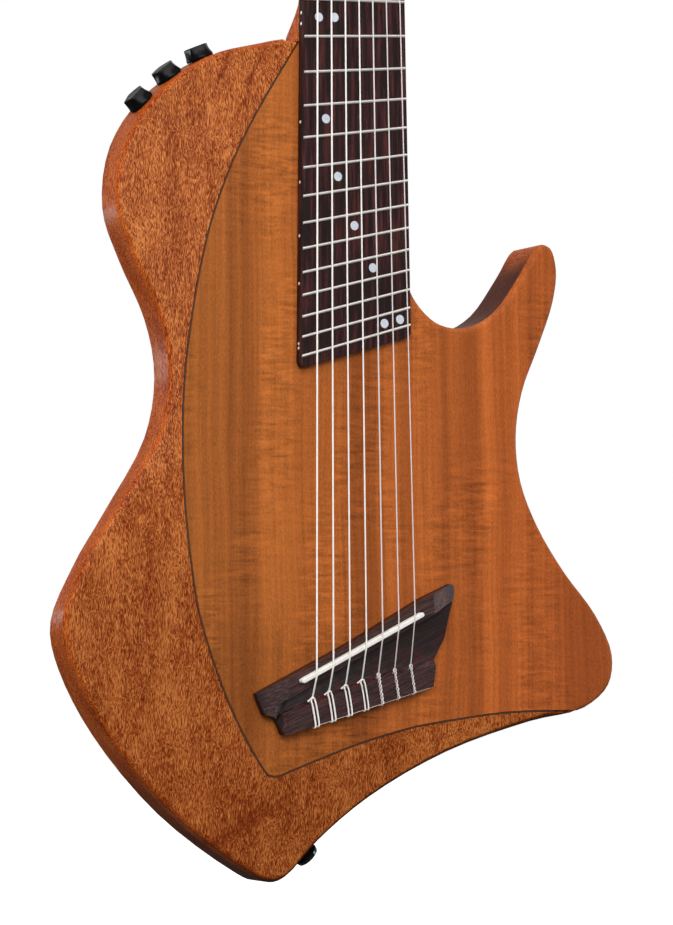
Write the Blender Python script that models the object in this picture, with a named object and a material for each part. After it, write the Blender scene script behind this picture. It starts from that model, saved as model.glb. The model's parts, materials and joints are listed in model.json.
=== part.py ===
import math

import bmesh
import bpy
import numpy as np
from mathutils import Matrix, Vector
from mathutils.geometry import delaunay_2d_cdt

# Electric nylon-string guitar, neck up. +Z runs up the neck, -Y is the player's front and +X the treble side.
# The origin lies between the ears of the headstock, where a wall hanger's arms carry the guitar.
# Plan sizes are written in the guitar's own plan: X across, Z up the strings from the saddle's middle.

MM = 0.001

# Where the plan lies in the part's frame
SADDLE_Z = -700.0 * MM
FACE_Y = -10.0 * MM
SEAT_GAP = 0.3 * MM

# Strings and scale
BASS_SCALE = 685.8 * MM
TREBLE_SCALE = 640.0 * MM
SADDLE_SPREAD = 61.0 * MM
NUT_SPREAD = 43.4 * MM
SADDLE_SLOPE = 0.464
STRING_COUNT = 7
STRING_RADII = [0.55 * MM, 0.53 * MM, 0.49 * MM, 0.45 * MM, 0.48 * MM, 0.40 * MM, 0.36 * MM]
STRING_H_NUT = 6.5 * MM
STRING_H_SADDLE = 13.6 * MM
STRING_SIDES = 6

# Body
BODY_THICK = 31.5 * MM
EDGE_RADIUS = 3.0 * MM
BEVEL_SLOPE = 0.115
BACK_CONTOUR = 9.0 * MM
CONTOUR_REACH = 3.5
TOP_THICK = 4.0 * MM
PURFLING_WIDTH = 0.5 * MM
OUTLINE_STEPS = 4
BODY_TOP_Z = 326.0 * MM

# Neck and fretboard
BOARD_THICK = 4.2 * MM
BOARD_HALF_NUT = 27.6 * MM
BOARD_HALF_END = 34.6 * MM
BOARD_END_MARGIN = 6.5 * MM
BOARD_CORNER = 4.0 * MM
FRET_COUNT = 24
FRET_WIDTH = 2.4 * MM
FRET_HEIGHT = 1.1 * MM
FRET_INSET = 0.7 * MM
NUT_THICK = 5.0 * MM
NECK_INSET = 0.6 * MM
NECK_DEPTH_NUT = 13.8 * MM
NECK_DEPTH_HEEL = 15.4 * MM
HEEL_DEPTH = 28.5 * MM
HEEL_LENGTH = 38.0 * MM
HEEL_MARGIN = 5.4 * MM
TENON_HALF = 25.0 * MM
TENON_DEPTH = 15.4 * MM
TENON_LENGTH = 176.0 * MM
ROD_WIDTH = 5.6 * MM
ROD_DEPTH = 8.0 * MM
ROD_LENGTH = 290.0 * MM

# Headstock
NUT_TO_HEAD = 2.7 * MM
HEAD_TILT = math.radians(10.0)
HEAD_THICK = 19.0 * MM
HEAD_HALF = 37.0 * MM
HEAD_END_MARGIN = 36.0 * MM
EAR_START = 30.0 * MM
SLOT_INNER = 7.6 * MM
SLOT_OUTER = 26.0 * MM
SLOT_MARGIN = 15.0 * MM
SLOT_START = 22.0 * MM
RAMP_LENGTH = 27.0 * MM
RAMP_DEPTH = 2.6 * MM
COVER_SUNK = 0.8 * MM
COVER_RISE = 0.2 * MM

# Tuners
ROLLER_PITCH = 32.0 * MM
BASS_FIRST_ROLLER = 54.0 * MM
TREBLE_FIRST_ROLLER = 70.0 * MM
ROLLER_DEPTH = 8.0 * MM
ROLLER_RADIUS = 4.6 * MM
AXLE_RADIUS = 3.0 * MM
GEAR_SEAT_RADIUS = 1.9 * MM
PLATE_THICK = 1.2 * MM
PLATE_WIDTH = 15.0 * MM
PLATE_MARGIN = 16.0 * MM
GEAR_THICK = 2.6 * MM
GEAR_TEETH = 14
GEAR_PITCH_RADIUS = 5.6 * MM
GEAR_TIP = 0.6 * MM
GEAR_ROOT = 0.95 * MM
GEAR_TOOTH_SHARE = 0.33
WHEEL_PHASE_BASS = 0.75
WHEEL_PHASE_TREBLE = 0.25
WORM_PITCH_RADIUS = 2.6 * MM
WORM_TIP = 0.6 * MM
WORM_ROOT = 0.9 * MM
WORM_TOOTH_SHARE = 0.33
WORM_TURNS = 3.2
THREAD_STEPS = 24
WORM_SHAFT = 1.5 * MM
TAB_THICK = 1.8 * MM
TAB_HALF = 3.2 * MM
TAB_INSET = 0.9 * MM
BUTTON_STANDOFF = 7.0 * MM
BUTTON_LENGTH = 17.0 * MM
BUTTON_HALF_WIDTH = 9.0 * MM
BUTTON_HALF_THICK = 4.0 * MM
WRAP_TURNS = 1.75

# Bridge
BRIDGE_HEIGHT = 8.5 * MM
TIE_BLOCK_HEIGHT = 7.4 * MM
WING_HEIGHT = 2.6 * MM
GROOVE_HEIGHT = 2.6 * MM
GROOVE_WALL = 1.6 * MM
SADDLE_THICK = 2.9 * MM
SADDLE_LENGTH = 84.0 * MM
SADDLE_SHIFT = -1.6 * MM
SADDLE_SET_BACK = 1.4 * MM
SLOT_FLOOR = 1.6 * MM
PICKUP_HEIGHT = 1.2 * MM
TIE_HOLE_H = 4.4 * MM
TIE_HOLE_RADIUS = 0.95 * MM
TIE_LEFT = 0.8 * MM
TIE_RIGHT = 1.3 * MM
TIE_LEAN = 5.0 * MM

# Controls on the bass side
KNOB_ANGLES = 3
KNOB_RADIUS = 7.5 * MM
KNOB_TOP_RADIUS = 6.3 * MM
KNOB_HEIGHT = 6.5 * MM
KNOB_STANDOFF = 0.6 * MM
KNOB_LOBES = 8
KNOB_SHAFT = 3.0 * MM
CONTROL_WALL = 8.0 * MM
POT_RADIUS = 6.5 * MM
POT_LENGTH = 8.0 * MM
CAVITY_FRONT = 6.5 * MM
COVER_THICK = 2.0 * MM
COVER_LIP = 5.0 * MM
BATTERY_SIZE = (26.5 * MM, 17.5 * MM, 48.5 * MM)
BOARD_SIZE = (22.0 * MM, 1.6 * MM, 50.0 * MM)
CHAMBER = (-104.0 * MM, -46.0 * MM, 226.0 * MM, 288.0 * MM)

# Jack and strap buttons
JACK_Z = -7.0 * MM
JACK_RADIUS = 6.0 * MM
JACK_LENGTH = 30.0 * MM
JACK_SOCKET = 3.3 * MM
JACK_FLANGE = 9.5 * MM
JACK_FLANGE_THICK = 2.0 * MM
JACK_RECESS = 3.5 * MM
STRAP_RADIUS = 7.0 * MM
STRAP_HEIGHT = 9.0 * MM
STRAP_SCREW = 2.2 * MM
STRAP_SCREW_LENGTH = 8.0 * MM

# Body outline: across and up the plan, from the neck's bass side round the tail to the cutaway
BODY_POINTS = [
    (-35.0, 328.0), (-56.0, 323.3), (-83.2, 314.5), (-113.6, 291.6), (-131.0, 265.5), (-137.4, 232.0),
    (-128.0, 204.3), (-114.6, 173.8), (-109.4, 142.5), (-115.4, 110.9), (-139.4, 70.6), (-156.8, 42.6),
    (-166.6, 14.9), (-160.4, -10.2), (-141.3, -44.0), (-103.8, -85.8), (-59.5, -117.4), (-47.2, -122.9),
    (-37.9, -120.3), (-19.7, -102.7), (11.8, -80.0), (60.7, -56.5), (115.4, -40.7), (151.7, -33.6),
    (167.6, -21.4), (170.4, -4.0), (159.4, 18.4), (137.8, 43.1), (120.5, 67.8), (109.6, 92.2),
    (106.7, 117.2), (111.0, 142.3), (122.1, 167.9), (132.4, 194.1), (135.0, 213.2), (130.8, 225.4),
    (124.0, 226.4), (112.6, 210.6), (94.0, 187.0), (75.7, 177.2), (57.9, 177.8), (44.4, 186.7),
    (36.0, 200.0), (32.6, 222.0), (31.8, 270.0), (31.4, 328.0),
]

# Where the koa stops against the mahogany: from the neck down the bass side and along the tail
KOA_LINE = [
    (-22.0, 342.0), (-32.4, 325.9), (-53.2, 293.6), (-68.7, 266.3), (-79.7, 241.4), (-88.5, 215.2),
    (-97.0, 175.0), (-101.6, 139.8), (-102.6, 105.1), (-101.1, 72.2), (-97.2, 40.4), (-92.9, 17.6),
    (-80.2, -18.5), (-68.5, -42.7), (-57.0, -61.0), (-53.0, -65.8), (-47.5, -67.0), (-40.0, -64.7),
    (-23.9, -59.2), (6.7, -49.8), (38.0, -42.5), (65.8, -38.8), (93.4, -35.9), (116.4, -35.1),
    (136.3, -35.4), (160.0, -36.5),
]

# Bridge footprint, from its left tip along the upper edge to the right horn and back
BRIDGE_POINTS = [
    (-61.8, -23.3), (-53.2, -19.2), (-4.8, 3.4), (39.8, 27.0), (59.0, 35.0), (61.6, 34.2), (62.4, 31.2),
    (55.0, 6.0), (47.6, -5.6), (45.8, -19.9), (-40.5, -44.6), (-44.7, -44.9), (-46.2, -40.6),
    (-48.6, -37.0), (-52.0, -35.2), (-57.2, -34.4), (-61.0, -26.0),
]

# The tie block's front ridge and rear edge: height at the middle string and slope
RIDGE_Z = -22.1 * MM
RIDGE_SLOPE = 0.284
REAR_Z = -33.2 * MM

# Knob and strap button places along the body's edge
KNOB_PLACES = [(-116.5, 287.7), (-101.4, 303.9), (-83.3, 316.2)]
STRAP_PLACE = (-27.0, -105.5)
HEEL_STRAP_PLACE = (-10.0 * MM, 300.0 * MM)


# Small tools

def material(name, colour, roughness, metallic=0.0):
    made = bpy.data.materials.new(name)
    made.use_nodes = True
    shader = made.node_tree.nodes["Principled BSDF"]
    shader.inputs["Base Color"].default_value = (*colour, 1.0)
    shader.inputs["Roughness"].default_value = roughness
    shader.inputs["Metallic"].default_value = metallic
    made.diffuse_color = (*colour, 1.0)
    return made


def world(x, depth, z):
    """A point of the plan in the part's frame; depth is measured from the face towards the back."""
    return Vector((x, FACE_Y + depth, SADDLE_Z + z))


def add_object(name, mesh, look=None, matrix=None):
    made = bpy.data.objects.new(name, mesh)
    bpy.context.scene.collection.objects.link(made)
    if look is not None and not mesh.materials:
        mesh.materials.append(look)
    if matrix is not None:
        made.matrix_world = matrix
    return made


def mesh_from(name, points, faces):
    mesh = bpy.data.meshes.new(name)
    mesh.from_pydata([tuple(p) for p in points], [], faces)
    bm = bmesh.new()
    bm.from_mesh(mesh)
    bmesh.ops.recalc_face_normals(bm, faces=bm.faces)
    if bm.calc_volume(signed=True) < 0:
        bmesh.ops.reverse_faces(bm, faces=bm.faces)
    bm.to_mesh(mesh)
    bm.free()
    return mesh


def smooth(obj, angle=35.0):
    obj.data.shade_smooth()
    obj.data.set_sharp_from_angle(angle=math.radians(angle))


def boolean(target, cutter, operation="DIFFERENCE"):
    """Applies an exact Boolean to the target and removes the cutter."""
    modifier = target.modifiers.new("cut", "BOOLEAN")
    modifier.operation = operation
    modifier.solver = "EXACT"
    modifier.object = cutter
    bpy.context.view_layer.update()
    graph = bpy.context.evaluated_depsgraph_get()
    looks = list(target.data.materials)
    mesh = bpy.data.meshes.new_from_object(target.evaluated_get(graph))
    target.modifiers.clear()
    mend(mesh)
    target.data = mesh
    mesh.materials.clear()
    for look in looks:
        mesh.materials.append(look)
    for face in mesh.polygons:
        face.material_index = 0
    old = cutter.data
    bpy.data.objects.remove(cutter)
    if old.users == 0:
        bpy.data.meshes.remove(old)
    return target


def mend(mesh):
    """Closes the hair-thin slits that a cut across a flat face can leave."""
    bm = bmesh.new()
    bm.from_mesh(mesh)
    rim = [v for v in bm.verts if v.is_boundary]
    if rim:
        bmesh.ops.remove_doubles(bm, verts=rim, dist=0.2 * MM)
        bmesh.ops.holes_fill(bm, edges=[e for e in bm.edges if e.is_boundary], sides=4)
        bm.to_mesh(mesh)
    bm.free()


def copy_of(obj, name):
    made = obj.copy()
    made.data = obj.data.copy()
    made.name = name
    bpy.context.scene.collection.objects.link(made)
    return made


def prism(name, outline, front, back):
    """A solid over a plan outline between two depths behind the face."""
    count = len(outline)
    points = [world(x, front, z) for x, z in outline] + [world(x, back, z) for x, z in outline]
    faces = [list(range(count)), list(range(2 * count - 1, count - 1, -1))]
    faces += [[i, (i + 1) % count, count + (i + 1) % count, count + i] for i in range(count)]
    return add_object(name, mesh_from(name, points, faces))


def axis_matrix(place, axis):
    """A frame whose Z is the axis and whose origin is the place."""
    turn = Vector((0, 0, 1)).rotation_difference(Vector(axis).normalized())
    return Matrix.Translation(place) @ turn.to_matrix().to_4x4()


def turned_mesh(name, profile, sides):
    """A closed solid of revolution about Z from (radius, height) pairs; radius 0 closes an end."""
    points, rows = [], []
    for radius, height in profile:
        if radius == 0.0:
            rows.append([len(points)])
            points.append((0.0, 0.0, height))
            continue
        rows.append(list(range(len(points), len(points) + sides)))
        for i in range(sides):
            angle = 2 * math.pi * i / sides
            points.append((radius * math.cos(angle), radius * math.sin(angle), height))
    faces = []
    for low, high in zip(rows, rows[1:]):
        for i in range(sides):
            j = (i + 1) % sides
            corners = [low[i % len(low)], low[j % len(low)], high[j % len(high)], high[i % len(high)]]
            faces.append(list(dict.fromkeys(corners)))
    return mesh_from(name, points, faces)


def bore(radius, start, end, sides=16):
    """A cutter whose flats, not its corners, stand at the radius."""
    return rod("cut", radius / math.cos(math.pi / sides), start, end, sides)


def rod(name, radius, start, end, sides=16):
    """A cylinder between two points."""
    start, end = Vector(start), Vector(end)
    length = (end - start).length
    mesh = turned_mesh(name, [(0.0, 0.0), (radius, 0.0), (radius, length), (0.0, length)], sides)
    made = add_object(name, mesh, matrix=axis_matrix(start, end - start))
    bake(made)
    return made


def bake(obj):
    """Moves the object's placing into its mesh."""
    bpy.context.view_layer.update()
    obj.data.transform(obj.matrix_world)
    obj.matrix_world = Matrix.Identity(4)


def box(name, low, high, matrix=None):
    xs, ys, zs = zip(low, high)
    points = [(x, y, z) for x in xs for y in ys for z in zs]
    faces = [[0, 1, 3, 2], [4, 6, 7, 5], [0, 4, 5, 1], [2, 3, 7, 6], [0, 2, 6, 4], [1, 5, 7, 3]]
    mesh = mesh_from(name, points, faces)
    made = add_object(name, mesh)
    if matrix is not None:
        made.data.transform(matrix)
    return made


def spline(points, steps, closed):
    """A centripetal curve through the points."""
    given = [Vector(p) for p in points]
    count = len(given)
    if not closed:
        given = [2 * given[0] - given[1]] + given + [2 * given[-1] - given[-2]]
    made = []
    for i in range(count if closed else count - 1):
        if closed:
            a, b, c, d = (given[(i + k - 1) % count] for k in range(4))
        else:
            a, b, c, d = given[i:i + 4]
        t0 = 0.0
        t1 = t0 + math.sqrt((b - a).length)
        t2 = t1 + math.sqrt((c - b).length)
        t3 = t2 + math.sqrt((d - c).length)
        for k in range(steps):
            t = t1 + (t2 - t1) * k / steps
            p1 = a * ((t1 - t) / (t1 - t0)) + b * ((t - t0) / (t1 - t0))
            p2 = b * ((t2 - t) / (t2 - t1)) + c * ((t - t1) / (t2 - t1))
            p3 = c * ((t3 - t) / (t3 - t2)) + d * ((t - t2) / (t3 - t2))
            q1 = p1 * ((t2 - t) / (t2 - t0)) + p2 * ((t - t0) / (t2 - t0))
            q2 = p2 * ((t3 - t) / (t3 - t1)) + p3 * ((t - t1) / (t3 - t1))
            made.append(q1 * ((t2 - t) / (t2 - t1)) + q2 * ((t - t1) / (t2 - t1)))
    if not closed:
        made.append(given[-2])
    return made


def tube_mesh(name, points, radius, sides):
    """A round tube along a path, with flat ends and a frame carried along without twist."""
    path = [Vector(p) for p in points]
    count = len(path)
    tangents = []
    for i in range(count):
        before = path[i] - path[max(i - 1, 0)]
        after = path[min(i + 1, count - 1)] - path[i]
        mean = before.normalized() + after.normalized()
        tangents.append(mean.normalized())
    side = tangents[0].orthogonal().normalized()
    made, faces = [], []
    for i in range(count):
        side = (side - tangents[i] * side.dot(tangents[i])).normalized()
        other = tangents[i].cross(side)
        for k in range(sides):
            angle = 2 * math.pi * k / sides
            made.append(path[i] + radius * (math.cos(angle) * side + math.sin(angle) * other))
    for i in range(count - 1):
        for k in range(sides):
            j = (k + 1) % sides
            faces.append([i * sides + k, i * sides + j, (i + 1) * sides + j, (i + 1) * sides + k])
    faces.append(list(range(sides)))
    faces.append(list(range(len(made) - 1, len(made) - 1 - sides, -1)))
    return mesh_from(name, made, faces)


# Plan lines of the guitar

def scaled(points):
    return [(x * MM, z * MM) for x, z in points]


def body_outline():
    return spline(scaled(BODY_POINTS), OUTLINE_STEPS, True)


def koa_line():
    return spline(scaled(KOA_LINE), 3, False)


def outward_normals(outline):
    count = len(outline)
    made = []
    for i in range(count):
        along = (outline[(i + 1) % count] - outline[i - 1]).normalized()
        made.append(Vector((along.y, -along.x)))
    return made


def offset_line(line, distance):
    """An open line moved sideways; positive goes to the left of its direction."""
    made = []
    for i, point in enumerate(line):
        along = (line[min(i + 1, len(line) - 1)] - line[max(i - 1, 0)]).normalized()
        made.append(point + distance * Vector((-along.y, along.x)))
    return made


def distance_to(point, line):
    best = 1.0
    for a, b in zip(line, line[1:]):
        along = b - a
        share = max(0.0, min(1.0, (point - a).dot(along) / along.length_squared))
        best = min(best, (point - a - share * along).length)
    return best


def koa_region(distance, reach):
    """The treble side of the koa line moved by a distance, closed outside the body."""
    line = offset_line(koa_line(), distance)
    right = max(p.x for p in body_outline()) + reach + BODY_THICK
    corners = [Vector((right, line[-1].y)), Vector((right, line[0].y + reach))]
    corners.append(Vector((line[0].x, line[0].y + reach)))
    return line + corners


def inside(point, outline):
    hit = False
    for a, b in zip(outline, outline[1:] + outline[:1]):
        if (a.y > point.y) != (b.y > point.y):
            if point.x < a.x + (b.x - a.x) * (point.y - a.y) / (b.y - a.y):
                hit = not hit
    return hit


def ease(value):
    value = max(0.0, min(1.0, value))
    return value * value * (3 - 2 * value)


def contour_depth(point):
    """How far the bass side's back edge is carved away at a place on the outline."""
    if point.x > -20 * MM:
        return 0.0
    z = point.y / MM
    low = ease((z + 10) / 58)
    high = 1.0 - 0.52 * ease((z - 150) / 70)
    top = 1.0 - ease((z - 230) / 38)
    return BACK_CONTOUR * low * high * top


def string_x(spread, index):
    return -spread / 2 + spread * index / (STRING_COUNT - 1)


def saddle_point(index):
    x = string_x(SADDLE_SPREAD, index)
    return Vector((x, SADDLE_SLOPE * x))


def nut_point(index):
    """Where a string leaves the nut: the outer two have the stated scales, the rest lie between."""
    ends = []
    for end, scale in ((0, BASS_SCALE), (STRING_COUNT - 1, TREBLE_SCALE)):
        across = string_x(NUT_SPREAD, end) - saddle_point(end).x
        ends.append(saddle_point(end).y + math.sqrt(scale ** 2 - across ** 2))
    share = index / (STRING_COUNT - 1)
    return Vector((string_x(NUT_SPREAD, index), ends[0] + (ends[1] - ends[0]) * share))


def fret_line(number):
    """Two points of a fret, on the outer strings; fret 0 is the nut."""
    share = 2.0 ** (-number / 12.0)
    ends = []
    for end in (0, STRING_COUNT - 1):
        ends.append(saddle_point(end) + (nut_point(end) - saddle_point(end)) * share)
    return ends


def fret_z(number, x, shift=0.0):
    a, b = fret_line(number)
    return a.y + (b.y - a.y) * (x - a.x) / (b.x - a.x) + shift


def board_half(z):
    start = fret_z(FRET_COUNT, 0.0) - BOARD_END_MARGIN
    end = fret_z(0, 0.0)
    return BOARD_HALF_END + (BOARD_HALF_NUT - BOARD_HALF_END) * (z - start) / (end - start)


def board_edge(number, side, shift=0.0, inset=0.0):
    """Where a fret's line meets the fretboard's edge."""
    z = fret_z(number, 0.0)
    for _ in range(4):
        x = side * (board_half(z) - inset)
        z = fret_z(number, x, shift)
    return Vector((x, z))


def head_start():
    """Height in the plan where the headstock's face begins to lean back."""
    return fret_z(0, -BOARD_HALF_NUT) + NUT_THICK + SEAT_GAP + NUT_TO_HEAD


def tenon_end():
    return BODY_TOP_Z - TENON_LENGTH


# Body, koa top and purfling

def body_blank():
    outline = body_outline()
    normals = outward_normals(outline)
    koa = koa_line()
    region = koa_region(0.0, 0.0)
    radius, share = EDGE_RADIUS, 1 - math.sqrt(0.5)
    drops = [0.0 if inside(p, region) else BEVEL_SLOPE * distance_to(p, koa) for p in outline]
    backs = [contour_depth(p) for p in outline]
    count = len(outline)

    def ring(inset, depth_of):
        return [world(p.x - n.x * inset, depth_of(i), p.y - n.y * inset)
                for i, (p, n) in enumerate(zip(outline, normals))]

    rings = [
        ring(radius, lambda i: drops[i]),
        ring(radius * share, lambda i: drops[i] + radius * share),
        ring(0.0, lambda i: drops[i] + radius),
        ring(0.0, lambda i: BODY_THICK - backs[i] - radius),
        ring(radius * share, lambda i: BODY_THICK - backs[i] - radius * share),
        ring(radius, lambda i: BODY_THICK - backs[i]),
    ]
    points = [p for one in rings for p in one]
    faces = []
    for r in range(len(rings) - 1):
        for i in range(count):
            j = (i + 1) % count
            faces.append([r * count + i, r * count + j, (r + 1) * count + j, (r + 1) * count + i])
    edge = [Vector((p.x, p.z - SADDLE_Z)) for p in rings[0]]
    crease = [p for p in koa if inside(p, edge) and distance_to(p, edge + edge[:1]) > 1.5 * MM]
    cap(points, faces, edge, 0, [(p, 0.0) for p in crease], True)
    bowl = []
    for i in range(0, count, 2):
        reach = CONTOUR_REACH * backs[i]
        for k in (1, 2, 3):
            if backs[i] < 0.8 * MM:
                continue
            inset = radius + reach * k / 3
            place = outline[i] - normals[i] * inset
            if inside(place, edge) and distance_to(place, outline + outline[:1]) > 0.93 * inset:
                bowl.append((place, BODY_THICK - backs[i] * (1 - k / 3) ** 2))
    cap(points, faces, edge, 5 * count, bowl, False)
    made = add_object("body", mesh_from("body", points, faces))
    return made


def purfling_strip():
    """The thin line between the two woods, as far as the flat of the face reaches."""
    outline = body_outline()
    normals = outward_normals(outline)
    edge = [p - n * EDGE_RADIUS for p, n in zip(outline, normals)]
    top = BODY_TOP_Z - SEAT_GAP
    line = [p for p in koa_line() if p.y < top and inside(p, edge)]
    ribbon = offset_line(line, PURFLING_WIDTH / 2) + offset_line(line, -PURFLING_WIDTH / 2)[::-1]
    return prism("purfling", ribbon, 0.0, TOP_THICK)


def cap(points, faces, edge, first, extra, chained):
    """Closes one face of the body over its edge ring, with extra points at their own depths."""
    count = len(edge)
    flat = list(edge) + [p for p, _ in extra]
    links = [(i, (i + 1) % count) for i in range(count)]
    if chained:
        links += [(count + i, count + i + 1) for i in range(len(extra) - 1)]
    found = delaunay_2d_cdt(flat, links, [list(range(count))], 1, 1e-7)
    index_of = {}
    for i, origin in enumerate(found[3]):
        source = origin[0]
        if source < count:
            index_of[i] = first + source
        else:
            place, depth = extra[source - count]
            index_of[i] = len(points)
            points.append(world(place.x, depth, place.y))
    faces.extend([index_of[i] for i in face] for face in found[2])


def edge_place(place):
    """The nearest point of the body's edge in plan, with its outward direction."""
    outline, target = body_outline(), Vector(place) * MM
    best = None
    for a, b in zip(outline, outline[1:] + outline[:1]):
        along = b - a
        share = max(0.0, min(1.0, (target - a).dot(along) / along.length_squared))
        point = a + share * along
        if best is None or (point - target).length < (best[0] - target).length:
            best = (point, Vector((along.y, -along.x)).normalized())
    return best


def control_frames():
    """Place on the edge, outward direction and depth of each knob."""
    made = []
    for place in KNOB_PLACES:
        point, normal = edge_place(place)
        drop = BEVEL_SLOPE * distance_to(point, koa_line())
        middle = (drop + BODY_THICK - contour_depth(point)) / 2
        made.append((point, normal, middle))
    return made


def hull(points):
    points = sorted(set((round(p[0], 7), round(p[1], 7)) for p in points))

    def half(items):
        line = []
        for p in items:
            while len(line) > 1:
                a, b = line[-2], line[-1]
                if (b[0] - a[0]) * (p[1] - a[1]) - (b[1] - a[1]) * (p[0] - a[0]) > 0:
                    break
                line.pop()
            line.append(p)
        return line[:-1]

    return [Vector(p) for p in half(points) + half(points[::-1])]


def grown(outline, distance):
    """A convex outline, counter-clockwise, with each side moved out and its corners kept sharp."""
    count = len(outline)
    made = []
    for i in range(count):
        a, b, c = outline[i - 1], outline[i], outline[(i + 1) % count]
        one, two = (b - a).normalized(), (c - b).normalized()
        first, second = Vector((one.y, -one.x)), Vector((two.y, -two.x))
        mean = (first + second).normalized()
        made.append(b + mean * (distance / max(0.5, mean.dot(first))))
    return made


def cavity_outline():
    corners = [(x, z) for x in CHAMBER[:2] for z in CHAMBER[2:]]
    for point, normal, _ in control_frames():
        along = Vector((-normal.y, normal.x))
        for side in (-1, 1):
            for depth in (CONTROL_WALL, CONTROL_WALL + 2 * POT_LENGTH):
                corner = point - normal * depth + along * side * (POT_RADIUS + 1.0 * MM)
                corners.append((corner.x, corner.y))
    return hull(corners)


def build_body(blank, looks):
    top_edge = PURFLING_WIDTH / 2 + SEAT_GAP
    trim_neck_end(blank)
    top = copy_of(blank, "top_plate")
    boolean(top, prism("cut", koa_region(top_edge, 0.06), -0.01, TOP_THICK), "INTERSECT")
    purfling = purfling_strip()
    body = blank
    boolean(body, prism("cut", koa_region(-top_edge, 0.06), -0.01, TOP_THICK + SEAT_GAP))
    cut_pocket(body)
    cut_controls(body)
    cut_jack(body)
    cut_strap_holes(body)
    for obj, look in ((body, "mahogany"), (top, "koa"), (purfling, "black_line")):
        obj.data.materials.append(looks[look])
        smooth(obj, 40)
    return body


def trim_neck_end(blank):
    """The body ends flat where the heel meets it."""
    half, end = BOARD_HALF_END + HEEL_MARGIN, max(p.y for p in body_outline())
    low = world(-half, -BODY_THICK, BODY_TOP_Z)
    high = world(half, 2 * BODY_THICK, end + HEEL_MARGIN)
    boolean(blank, box("cut", low, high))


def cut_pocket(body):
    low = world(-TENON_HALF - SEAT_GAP, -0.01, tenon_end() - SEAT_GAP)
    high = world(TENON_HALF + SEAT_GAP, TOP_THICK + TENON_DEPTH + 3 * SEAT_GAP, BODY_TOP_Z + 0.02)
    boolean(body, box("cut", low, high))


def cut_controls(body):
    outline = cavity_outline()
    boolean(body, prism("cut", outline, CAVITY_FRONT, BODY_THICK + 0.02))
    recess = BODY_THICK - COVER_THICK - SEAT_GAP
    boolean(body, prism("cut", grown(outline, COVER_LIP + SEAT_GAP), recess, BODY_THICK + 0.02))
    for point, normal, middle in control_frames():
        outer = point + normal * 10 * MM
        inner = point - normal * (CONTROL_WALL + 2 * MM)
        start, end = world(outer.x, middle, outer.y), world(inner.x, middle, inner.y)
        boolean(body, bore(KNOB_SHAFT + SEAT_GAP, start, end))


def body_right():
    """The rightmost reach of the body near the jack."""
    return max(p.x for p in body_outline() if abs(p.y - JACK_Z) < 12 * MM)


def cut_jack(body):
    middle, right = BODY_THICK / 2, body_right()
    flat = right - JACK_RECESS
    start = world(right + 0.02, middle, JACK_Z)
    boolean(body, rod("cut", JACK_FLANGE + 1 * MM, start, world(flat, middle, JACK_Z), 24))
    inner = flat - JACK_LENGTH - 4 * MM
    boolean(body, bore(JACK_RADIUS + SEAT_GAP, start, world(inner, middle, JACK_Z), 20))
    bottom = BODY_THICK - COVER_THICK - 6 * MM
    begin = world(inner + 3 * MM, middle + 3 * MM, JACK_Z)
    end = world(CHAMBER[1] - 10 * MM, bottom, CHAMBER[2] + 6 * MM)
    boolean(body, rod("cut", 2.2 * MM, begin, end, 8))


def strap_frame():
    return edge_place(STRAP_PLACE)


def place_of(point, depth):
    return point.x, depth, point.y


def cut_strap_holes(body):
    point, normal = strap_frame()
    start = point + normal * 5 * MM
    end = point - normal * (STRAP_SCREW_LENGTH + 1 * MM)
    middle = BODY_THICK / 2
    hole = STRAP_SCREW + SEAT_GAP
    seat = world(*place_of(point, middle))
    out = Vector((normal.x, 0.0, normal.y))
    boolean(body, rod("cut", STRAP_RADIUS + 0.5 * MM, seat, seat + out * 5 * MM, 18))
    boolean(body, bore(hole, world(start.x, middle, start.y), world(end.x, middle, end.y), 10))
    x, z = HEEL_STRAP_PLACE
    deep = BODY_THICK - STRAP_SCREW_LENGTH - 1 * MM
    boolean(body, bore(hole, world(x, BODY_THICK + 5 * MM, z), world(x, deep, z), 10))


# Neck, fretboard and nut

def neck_section(z, depth, power, steps=12):
    half = board_half(z) - NECK_INSET
    points = []
    for i in range(steps + 1):
        angle = math.pi * i / steps
        c, s = math.cos(angle), math.sin(angle)
        x = -half * math.copysign(abs(c) ** (2 / power), c)
        points.append(world(x, depth * abs(s) ** (2 / power), z))
    return points


def head_matrix():
    turn = Matrix.Rotation(-HEAD_TILT, 4, "X")
    return Matrix.Translation(world(0.0, 0.0, head_start())) @ turn


def head_length():
    """The headstock reaches past its furthest roller."""
    return max(height for _, height, _ in roller_places()) + HEAD_END_MARGIN


def head_outline():
    neck, length = board_half(head_start()) - NECK_INSET, head_length()
    right = [
        (neck, -4 * MM), (neck + 0.6 * MM, 4 * MM), (neck + 3 * MM, 14 * MM), (HEAD_HALF - 2 * MM, 23 * MM),
        (HEAD_HALF, EAR_START), (HEAD_HALF, length - 22 * MM), (HEAD_HALF - 2 * MM, length - 10 * MM),
        (HEAD_HALF - 9 * MM, length - 2.5 * MM), (12 * MM, length),
    ]
    return right + [(-x, z) for x, z in reversed(right)]


def head_prism(name, outline, front, back):
    made = prism(name, outline, front, back)
    made.data.transform(Matrix.Translation(-world(0.0, 0.0, 0.0)))
    made.data.transform(head_matrix())
    return made


def roller_places():
    """Side (-1 bass, +1 treble), height on the head and string index of each tuner."""
    made = []
    for i in range(4):
        made.append((-1, BASS_FIRST_ROLLER + ROLLER_PITCH * i, i))
    for i in range(3):
        made.append((1, TREBLE_FIRST_ROLLER + ROLLER_PITCH * i, STRING_COUNT - 1 - i))
    return sorted(made, key=lambda place: place[2])


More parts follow.
